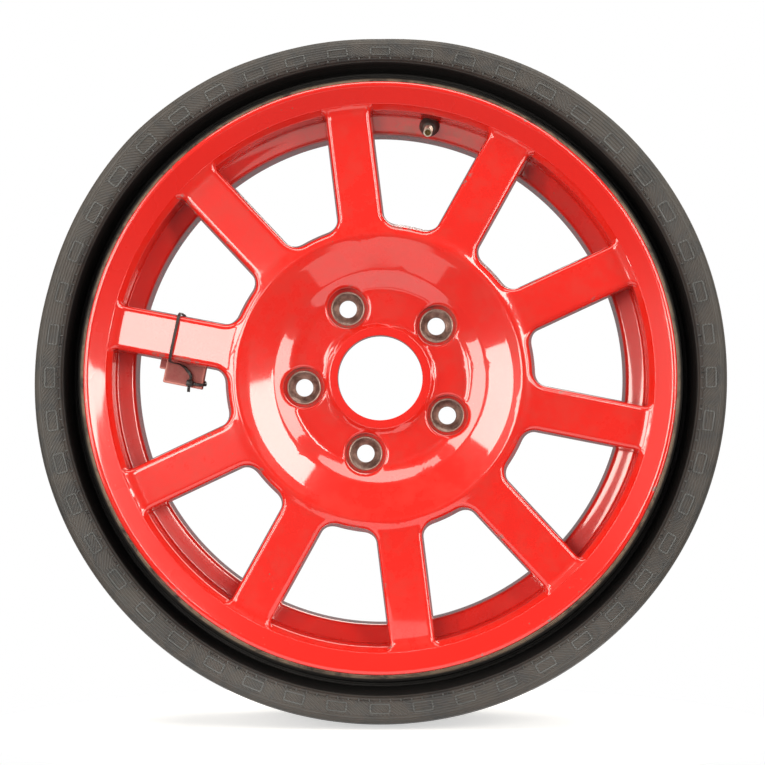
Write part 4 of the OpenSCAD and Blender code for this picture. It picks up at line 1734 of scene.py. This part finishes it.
    def build(self, ring: bpy.types.Material, tread: bpy.types.Material, raised: bpy.types.Material,
              copier: RadialArray) -> dict[str, bpy.types.Object]:
        """Makes the sidewalls, the tread and the moulded details.

        Args:
            ring: finish of the sidewalls.
            tread: finish of the tread.
            raised: finish of the details that stand proud and are rubbed paler.
            copier: the tree that repeats the details.

        Returns:
            Each piece by name.
        """
        made = {}
        for name, line, rubber, dusty in (
                ("sidewall_front_skin", self._placed(self._sidewall()), ring, 0.9),
                ("sidewall_rear_skin", self._placed(self._sidewall(), True), ring, 0.9),
                ("tread_skin", self._placed(self._tread()), tread, 0.3)):
            made[name] = self._turned(name, line, rubber, dusty)
        face = self.side + self.front_y
        for name, source, count, reach in (
                ("ring_panels", self._panel(18.0, 11.0, raised), self.panels, self.panel_reach),
                ("ring_ribs", self._rib(2.4, 1.3, 0.5, raised), self.ribs, self.rib_reach)):
            mesh = copier.copies(name, source, raised, count, reach)
            self._follow(mesh, face)
            made[name] = shown(name, mesh, raised, 50)
        mesh = copier.copies("moulding_nibs", self._nib(tread), tread, self.nibs, self.nib_reach,
                             self.nib_start, self.nib_spread, self.nib_seed)
        self._follow(mesh, face)
        made["moulding_nibs"] = shown("moulding_nibs", mesh, tread, 60)
        return made


# ---------------------------------------------------------------- valve, tie and tag


@dataclass
class Valve:
    """Snap-in valve: rubber body, plated stem with its thread, and the sprung pin."""

    base: tuple[float, float, float] = (41.883, -4.453, 215.467)
    out: tuple[float, float, float] = (-0.073791, -0.922194, -0.379621)
    stem: float = 3.85
    core: float = 2.65
    length: float = 22.0
    pitch: float = 0.9
    thread: float = 0.34

    def _placed(self, points: np.ndarray) -> np.ndarray:
        """Puts points along the valve's own axis where the valve is.

        Args:
            points: across, up and along the axis.

        Returns:
            The points in the wheel.
        """
        w = np.array(self.out) / np.linalg.norm(self.out)
        u = np.cross(w, (0, 0, 1.0))
        u /= np.linalg.norm(u)
        v = np.cross(w, u)
        across, up, along = points[..., :1], points[..., 1:2], points[..., 2:]
        return np.array(self.base) + across * u + up * v + along * w

    def _turned(self, name: str, line: Sequence[Corner], finish: bpy.types.Material,
                sides: int = 64) -> bpy.types.Object:
        """One piece of revolution about the valve's axis.

        Args:
            name: the piece's name.
            line: radius, height and corner radius of each corner of its closed section.
            finish: its material.
            sides: steps in a turn.

        Returns:
            The piece.
        """
        section = rounded(line, 5, closed=True)
        turn = np.arange(sides) * math.tau / sides
        reach, angle = np.meshgrid(section[:, 0], turn, indexing="ij")
        height = np.repeat(section[:, 1][:, None], sides, axis=1)
        skin = Skin()
        points = np.stack([reach * np.cos(angle), reach * np.sin(angle), height], axis=-1)
        skin.grid(self._placed(points), wrap_rows=True, wrap_columns=True)
        return skin.piece(name, finish, 40)

    def _threaded(self, finish: bpy.types.Material) -> bpy.types.Object:
        """The stem, its thread cut as a helix, with the bore for the core.

        Args:
            finish: its material.

        Returns:
            The piece.
        """
        sides, steps = 48, 120
        turn = np.arange(sides) * math.tau / sides
        heights = np.linspace(10.0, self.length - 0.5, steps)
        z, angle = np.meshgrid(heights, turn, indexing="ij")
        wave = (z / self.pitch - angle / math.tau) % 1.0
        tooth = np.abs(wave * 2 - 1)
        fade = step(z, 11.4, 12.2) * (1 - step(z, self.length - 1.6, self.length - 0.7))
        radius = self.stem - self.thread * fade * step(tooth, 0.15, 0.85)
        outer = np.stack([radius * np.cos(angle), radius * np.sin(angle), z], axis=-1)

        def ring(r: float, height: float) -> np.ndarray:
            """One plain ring of points."""
            return np.stack([r * np.cos(turn), r * np.sin(turn), np.full(sides, height)], axis=-1)

        top = [ring(3.6, self.length), ring(2.9, self.length), ring(self.core, self.length - 0.25),
               ring(self.core, 10.0), ring(2.2, 9.4), ring(2.2, 3.0), ring(1.5, 1.5),
               ring(1.5, -11.3)]
        foot = [ring(1.7, -11.5), ring(3.4, -11.5), ring(3.6, -11.3), ring(3.6, 9.98),
                ring(3.84, 9.99)]
        rows = np.concatenate([outer, np.array(top), np.array(foot)])
        skin = Skin()
        skin.grid(self._placed(rows), wrap_rows=True, wrap_columns=True)
        return skin.piece("valve_stem_threaded", finish, 45)

    def build(self, rubber: bpy.types.Material, plated: bpy.types.Material,
              brass: bpy.types.Material) -> dict[str, bpy.types.Object]:
        """Makes the body, the stem and the pin.

        Args:
            rubber: finish of the body.
            plated: finish of the stem.
            brass: finish of the pin.

        Returns:
            Each piece by name.
        """
        body = [(3.6, -11.5, 0), (7.5, -11.5, 1.2), (9.3, -9.5, 1.0), (9.3, -4.0, 0.8),
                (5.75, -4.0, 0.5), (5.75, 0.02, 0), (8.6, 0.02, 0), (8.6, 1.6, 0.8),
                (7.2, 4.6, 1.2), (6.5, 7.2, 1.2), (4.85, 10.0, 0.9), (3.6, 10.0, 0)]
        pin = [(0.012, 4.4, 0), (0.6, 4.4, 0.2), (0.6, 6.4, 0), (1.8, 6.4, 0.2), (1.8, 7.6, 0.1),
               (1.4, 7.9, 0), (0.6, 7.9, 0), (0.6, 15.9, 0), (1.3, 15.9, 0.12),
               (1.3, 16.4, 0.12), (0.6, 16.4, 0), (0.6, 21.5, 0.25), (0.012, 21.5, 0)]
        return {"valve_body_rubber": self._turned("valve_body_rubber", body, rubber),
                "valve_stem_threaded": self._threaded(plated),
                "valve_pin_turned": self._turned("valve_pin_turned", pin, brass, 24)}


@dataclass
class TieAndTag:
    """The dusty tag behind one spoke, and the cable tie that holds it."""

    clock: float = 281.0
    tag_x: float = -38.3
    tag_w: float = 40.0
    tag_z: float = 147.0
    tag_len: float = 34.0
    tag_front: float = -9.5
    tag_t: float = 12.0
    tab_len: float = 5.0
    tie_w: float = 2.5
    tie_t: float = 1.1
    face: float = -11.95
    back: float = 4.05
    head_x: float = -35.0
    head_z: float = 158.0

    def route(self) -> np.ndarray:
        """Lays out the tie's middle line.

        Returns:
            Points in the spoke's own frame: across, deep and along the spoke.
        """
        side, front, mid, hx, hz = 20.35, -37.7, 164.0, self.head_x, self.head_z
        return np.array([
            (hx, self.face, hz - 2.9), (hx + 0.2, self.face, 149.0),
            (hx + 1, self.face + 1.5, 145.55), (hx + 2, self.back - 1.6, 145.45),
            (hx + 3, self.back + 0.3, 146.4), (hx + 5, self.back, 149.0),
            (-18.3, self.back, mid - 11), (4.7, self.back, mid),
            (12.7, self.tag_front + 6, mid + 5), (side, self.tag_front - 1, 173.4),
            (side + 0.7, self.tag_front - 4, 174.4), (side, front + 5.6, 175.4),
            (16.0, front, 175.4), (-16.0, front, 175.8), (-side, front + 5.6, 175.6),
            (-side - 0.9, self.tag_front - 6, mid + 3.5), (-side - 3.6, self.face, mid - 1),
            (hx + 6, self.face, hz + 0.1), (hx + 3, self.face, hz), (hx - 4, self.face, hz),
            (hx - 7.4, self.face + 0.8, hz - 0.4)])

    @staticmethod
    def _smooth(route: np.ndarray, steps: int) -> np.ndarray:
        """A smooth line through every point of a route.

        Args:
            route: the points.
            steps: steps from each to the next.

        Returns:
            The denser line.
        """
        ends = np.concatenate([[2 * route[0] - route[1]], route, [2 * route[-1] - route[-2]]])
        gaps = np.linalg.norm(np.diff(ends, axis=0), axis=1) ** 0.5
        knots = np.concatenate([[0], np.cumsum(gaps)])
        out = []
        for i in range(1, len(ends) - 2):
            t0, t1, t2, t3 = knots[i - 1:i + 3]
            p0, p1, p2, p3 = ends[i - 1:i + 3]
            for t in np.linspace(t1, t2, steps, endpoint=False):
                a1 = (t1 - t) / (t1 - t0) * p0 + (t - t0) / (t1 - t0) * p1
                a2 = (t2 - t) / (t2 - t1) * p1 + (t - t1) / (t2 - t1) * p2
                a3 = (t3 - t) / (t3 - t2) * p2 + (t - t2) / (t3 - t2) * p3
                b1 = (t2 - t) / (t2 - t0) * a1 + (t - t0) / (t2 - t0) * a2
                b2 = (t3 - t) / (t3 - t1) * a2 + (t - t1) / (t3 - t1) * a3
                out.append((t2 - t) / (t2 - t1) * b1 + (t - t1) / (t2 - t1) * b2)
        return np.array(out + [route[-1]])

    def _strap(self, nylon: bpy.types.Material) -> bpy.types.Object:
        """The strap, a flat band with rounded edges that never twists.

        Args:
            nylon: its finish.

        Returns:
            The piece.
        """
        steps = 9
        line = self._smooth(self.route(), steps)
        heading = np.gradient(line, axis=0)
        heading /= np.linalg.norm(heading, axis=1)[:, None]
        front, back, hub, side = np.array([(0, -1, 0), (0, 1, 0), (0, 0, -1), (1, 0, 0)], float)
        faces = np.array([
            front, front, hub, hub, back + 0.6 * hub, back, back, back, back + 0.75 * side,
            back + 1.15 * side, side, side, front, front, -side, -side, front - 0.6 * side, front,
            front, front, front])
        share = np.arange(len(line)) / steps
        outer = np.stack([np.interp(share, np.arange(len(faces)), faces[:, k]) for k in range(3)],
                         axis=1)
        width = np.cross(heading, outer)
        width /= np.linalg.norm(width, axis=1)[:, None]
        thick = np.cross(width, heading)
        a, b, soft = self.tie_w / 2, self.tie_t / 2, 0.28
        section = rounded([(-a, -b, soft), (a, -b, soft), (a, b, soft), (-a, b, soft)], 3,
                          closed=True)
        across, deep = section[None, :, :1], section[None, :, 1:]
        rows = line[:, None] + across * width[:, None] + deep * thick[:, None]
        run = np.concatenate([[0], np.cumsum(np.linalg.norm(np.diff(line, axis=0), axis=1))])
        around = np.arange(len(section) + 1) / len(section)
        uv = np.stack(np.meshgrid(around, run * MM), axis=-1)
        teeth = np.repeat((section[:, 1] > 0)[None], len(line), axis=0).astype(float)
        skin = Skin()
        skin.grid(at_clock(rows, self.clock), wrap_columns=True, uv=uv, teeth=teeth)
        skin.fan(at_clock(rows[0], self.clock))
        skin.fan(at_clock(rows[-1], self.clock))
        return skin.piece("tie_strap_band", nylon, 50)

    def _head(self, nylon: bpy.types.Material) -> bpy.types.Object:
        """The head: a rounded block with a slot through it.

        Args:
            nylon: its finish.

        Returns:
            The piece.
        """
        half_x = 2.6
        outer, inner = (
            rounded([(-y, -z, soft), (y, -z, soft), (y, z, soft), (-y, z, soft)], 4, closed=True)
            for y, z, soft in ((2.3, 2.8, 0.6), (0.95, 1.85, 0.2)))
        rows = []
        for x, section, grow in (
                (-half_x, inner, 1.12), (-half_x, outer, 0.88), (-half_x + 0.35, outer, 1.0),
                (half_x - 0.35, outer, 1.0), (half_x, outer, 0.88), (half_x, inner, 1.12),
                (half_x - 0.3, inner, 1.0), (-half_x + 0.3, inner, 1.0)):
            scaled = section * grow
            rows.append(np.stack([np.full(len(scaled), self.head_x + x), self.face + scaled[:, 0],
                                  self.head_z + scaled[:, 1]], axis=-1))
        skin = Skin()
        skin.grid(at_clock(np.array(rows), self.clock), wrap_rows=True, wrap_columns=True)
        return skin.piece("tie_head_block", nylon, 45)

    def _plate(self, skin: Skin, low: Sequence[float], high: Sequence[float], soft: float) -> None:
        """Adds one rounded block to a skin, its faces slightly uneven.

        Args:
            skin: where it goes.
            low: its lowest corner.
            high: its highest corner.
            soft: radius of its corners.
        """
        (x0, y0, z0), (x1, y1, z1) = low, high
        corners = [(x0, z0, soft), (x1, z0, soft), (x1, z1, soft), (x0, z1, soft)]
        section = thinned(rounded(corners, 5, closed=True), 2.5)
        middle = np.array(((x0 + x1) / 2, (z0 + z1) / 2))
        half = np.array(((x1 - x0) / 2, (z1 - z0) / 2))
        rows, edge = [], []
        turns = [(y0, k) for k in np.linspace(0.02, 0.92, 9)]
        turns += [(y0 + soft * (1 - math.sin(a)), 1 - soft * (1 - math.cos(a)) / half.min())
                  for a in np.radians(np.linspace(90, 0, 5))]
        turns += [(y, 1.0) for y in np.linspace(y0 + soft, y1 - soft, 5)[1:-1]]
        turns += [(y1 - soft * (1 - math.sin(a)), 1 - soft * (1 - math.cos(a)) / half.min())
                  for a in np.radians(np.linspace(0, 90, 5))]
        turns += [(y1, k) for k in np.linspace(0.92, 0.02, 9)]
        for y, grow in turns:
            plan = middle + (section - middle) * grow
            wave = 0.12 * np.sin(plan[:, 0] * 0.31 + 1) * np.sin(plan[:, 1] * 0.27) * (grow < 0.95)
            rows.append(np.stack([plan[:, 0], y + wave, plan[:, 1]], axis=-1))
            # painted highlight share: full on the rounded edges, a quarter on the sides
            edge_highlight = 1.0 if 0.93 < grow < 0.999 else 0.25 if grow > 0.9 else 0.0
            edge.append(np.full(len(plan), edge_highlight))
        grid = at_clock(np.array(rows), self.clock)
        skin.grid(grid, wrap_columns=True, edge=np.array(edge))
        skin.fan(grid[0])
        skin.fan(grid[-1])

    def _tag(self, plastic: bpy.types.Material) -> bpy.types.Object:
        """The tag: a thick plate with a thinner tab beyond its outer end.

        Args:
            plastic: its finish.

        Returns:
            The piece.
        """
        skin = Skin()
        x1, z1 = self.tag_x + self.tag_w, self.tag_z + self.tag_len
        front = self.tag_front
        self._plate(skin, (self.tag_x, front, self.tag_z), (x1, front + self.tag_t, z1), 1.1)
        self._plate(skin, (self.tag_x + 11, front + 0.4, z1 - 3),
                    (x1 - 0.3, front + self.tag_t / 2, z1 + self.tab_len), 0.8)
        return skin.piece("tag_plate", plastic, 50)

    def build(self, nylon: bpy.types.Material,
              plastic: bpy.types.Material) -> dict[str, bpy.types.Object]:
        """Makes the strap, its head and the tag.

        Args:
            nylon: finish of the tie.
            plastic: finish of the tag.

        Returns:
            Each piece by name.
        """
        return {"tie_strap_band": self._strap(nylon), "tie_head_block": self._head(nylon),
                "tag_plate": self._tag(plastic)}


# ---------------------------------------------------------------- studio


@dataclass(frozen=True)
class SoftBox:
    """One soft rectangular light that faces the wheel."""

    name: str
    azimuth: float
    elevation: float
    wide: float
    tall: float
    radiance: float
    roll: float = 0.0
    distance: float = 3.0
    warm: Rgb = (1.0, 0.95, 0.87)

    def build(self) -> None:
        """Places the light. Azimuth is to the right of the wheel's axle, seen from the front."""
        a, e = math.radians(self.azimuth), math.radians(self.elevation)
        away = Vector((math.sin(a) * math.cos(e), -math.cos(a) * math.cos(e), math.sin(e)))
        data = bpy.data.lights.new(self.name, "AREA")
        data.shape = "RECTANGLE"
        data.size = 2 * self.distance * math.tan(math.radians(self.wide / 2))
        data.size_y = 2 * self.distance * math.tan(math.radians(self.tall / 2))
        data.energy = self.radiance * math.pi * data.size * data.size_y
        data.color = self.warm
        made = bpy.data.objects.new(self.name, data)
        made.location = away * self.distance
        turn = Quaternion((0.0, 0.0, 1.0), math.radians(self.roll))
        made.rotation_euler = (away.to_track_quat("Z", "Y") @ turn).to_euler()
        bpy.context.scene.collection.objects.link(made)


@dataclass
class Studio:
    """Camera, lights and floor."""

    distance: float = 2.0
    lens: float = 112.0
    azimuth: float = 0.7
    elevation: float = -1.7
    aim: tuple[float, float, float] = (0.0021, -0.0295, -0.0042)
    floor_z: float = -0.2955
    floor_rings: tuple[float, ...] = (1.0, 110.0, 220.0, 340.0)
    floor_sides: int = 96
    fill: float = 0.20
    boxes: tuple[SoftBox, ...] = (
        SoftBox("box_left", -23, 5, 19, 18, 12.0),
        SoftBox("box_far_left", -43, 8, 9, 34, 14.0, -12.0),
        SoftBox("box_right", 42, 19, 9, 42, 16.0, 26.0),
        SoftBox("box_side_left", -70, 12, 16, 60, 9.0),
        SoftBox("box_side_right", 69, 8, 16, 56, 9.0),
        SoftBox("box_top", 0, 84, 70, 30, 6.0),
        SoftBox("box_low", 0, -38, 46, 12, 1.5),
        SoftBox("box_back", 160, 35, 40, 36, 4.0),
    )

    def camera(self) -> None:
        """Sets the camera in front of the wheel, a little below its axle."""
        a, e = math.radians(self.azimuth), math.radians(self.elevation)
        away = Vector((math.sin(a) * math.cos(e), -math.cos(a) * math.cos(e), math.sin(e)))
        data = bpy.data.cameras.new("camera")
        data.lens = self.lens
        data.clip_start = 0.01
        made = bpy.data.objects.new("camera", data)
        made.location = Vector(self.aim) + away * self.distance
        made.rotation_euler = away.to_track_quat("Z", "Y").to_euler()
        bpy.context.scene.collection.objects.link(made)
        bpy.context.scene.camera = made

    def floor(self, finish: bpy.types.Material) -> bpy.types.Object:
        """Lays the floor: a wide disc of rings.

        Args:
            finish: its material.

        Returns:
            The floor.
        """
        turn = np.arange(self.floor_sides) * math.tau / self.floor_sides
        level = np.full(self.floor_sides, self.floor_z / MM)
        rows = [np.stack([r * np.sin(turn), r * np.cos(turn), level], axis=-1)
                for r in self.floor_rings]
        skin = Skin()
        skin.grid(np.array(rows), wrap_columns=True)
        skin.fan(rows[0])
        made = skin.piece("studio_floor", finish, 60)
        if made.data.polygons[0].normal.z < 0:
            made.data.flip_normals()
        return made

    def build(self, finish: bpy.types.Material) -> None:
        """Makes the camera, the lights and the floor.

        Args:
            finish: the floor's material.
        """
        scene = bpy.context.scene
        scene.view_settings.view_transform = "Standard"
        world = bpy.data.worlds.new("studio")
        scene.world = world
        world.use_nodes = True
        tree = world.node_tree
        tree.nodes.clear()
        seen = tree.nodes.new("ShaderNodeLightPath")
        glow = tree.nodes.new("ShaderNodeMapRange")
        glow.inputs["To Min"].default_value = self.fill
        shade = tree.nodes.new("ShaderNodeBackground")
        out = tree.nodes.new("ShaderNodeOutputWorld")
        tree.links.new(seen.outputs["Is Camera Ray"], glow.inputs["Value"])
        tree.links.new(glow.outputs[0], shade.inputs["Strength"])
        tree.links.new(shade.outputs[0], out.inputs[0])
        shade.inputs["Color"].default_value = (1.0, 1.0, 1.0, 1.0)
        self.camera()
        for box in self.boxes:
            box.build()
        self.floor(finish)


# ---------------------------------------------------------------- assembly


@dataclass(frozen=True)
class Place:
    """What a piece stands for and where its finish comes from."""

    nodes: tuple[str, ...]
    slot: str
    body: str = BODY


SPOKE_NODES = tuple(f"spoke_{i:02d}" for i in range(1, 11))
PLACES = {
    "rim_barrel_skin": Place(("rim_barrel",), "red_alloy"),
    "wheel_face_skin": Place(("hub_pad", "hub_bowl", *SPOKE_NODES), "red_alloy"),
    "bolt_seat_rings": Place(("bolt_seats",), "seat_metal"),
    "sidewall_front_skin": Place(("sidewall_front",), "tyre_rubber"),
    "sidewall_rear_skin": Place(("sidewall_rear",), "tyre_rubber"),
    "tread_skin": Place(("tread",), "tyre_rubber"),
    "ring_panels": Place((), "tyre_rubber"),
    "ring_ribs": Place((), "tyre_rubber"),
    "moulding_nibs": Place((), "tyre_rubber"),
    "valve_body_rubber": Place(("valve_body",), "valve_rubber"),
    "valve_stem_threaded": Place(("valve_stem",), "nickel_brass"),
    "valve_pin_turned": Place(("valve_pin",), "nickel_brass", PIN_BODY),
    "tie_strap_band": Place(("tie_strap",), "tie_nylon"),
    "tie_head_block": Place(("tie_head",), "tie_nylon"),
    "tag_plate": Place(("tag_block",), "tag_plastic"),
}


def dress(nodes: Iterable[str], finish: bpy.types.Material) -> None:
    """Gives CAD nodes a finish.

    Args:
        nodes: their names.
        finish: the material.
    """
    for name in nodes:
        mesh = frame["nodes"][name].data
        mesh.materials.clear()
        mesh.materials.append(finish)


def settle(pieces: dict[str, bpy.types.Object]) -> None:
    """Ties each piece to its body, hides the CAD nodes it stands for, and reports it.

    Args:
        pieces: each piece by name.
    """
    for name, piece in pieces.items():
        place = PLACES[name]
        if place.nodes:
            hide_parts(*place.nodes)
        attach(piece, place.body)
        log.info("%s: %d faces, on body %s", name, len(piece.data.polygons), place.body)


def main() -> None:
    """Builds the wheel and its studio."""
    logging.basicConfig(level=logging.INFO, format="%(name)s %(message)s")
    Studio().build(StudioFloor().material())
    copier = RadialArray()
    paint = GlossPaint().material()
    settle({"rim_barrel_skin": Barrel().build(paint), "wheel_face_skin": WheelFace().build(paint)})
    settle({"bolt_seat_rings": BoltSeats().build(TurnedSteel().material(), copier)})
    ring, tread = TyreRubber(Hatch.RING).material(), TyreRubber(Hatch.TREAD).material()
    raised = TyreRubber(Hatch.RAISED, tone(50, 52, 52), tone(84, 86, 86)).material()
    settle(FoldedTyre().build(ring, tread, raised, copier))
    body = SoftRubber("valve_rubber_skin").material()
    plated = PlatedBrass().material()
    brass = PlatedBrass("pin_brass", tone(128, 108, 72), tone(84, 68, 46), 0.2).material()
    settle(Valve().build(body, plated, brass))
    settle(TieAndTag().build(Nylon().material(), DustyTag().material()))
    dress(("breaker_ply",), CordPly("breaker_cord", lean=2.4).material())
    dress(("carcass_outer_ply", "carcass_inner_ply"), CordPly("carcass_cord", lean=0.0).material())
    dress(("inner_liner", "chafer_front", "chafer_rear", "bead_filler_front", "bead_filler_rear"),
          TyreRubber(Hatch.PLAIN).material())
    dress(("bead_core_front", "bead_core_rear"), BeadWire().material())
    dress(("core_plug",), PlatedBrass("core_brass", tone(116, 96, 62), tone(66, 54, 38)).material())
    dress(("core_gasket",), SoftRubber("gasket_rubber").material())
    dress(("core_spring",), SpringWire().material())


if __name__ == "__main__":
    main()
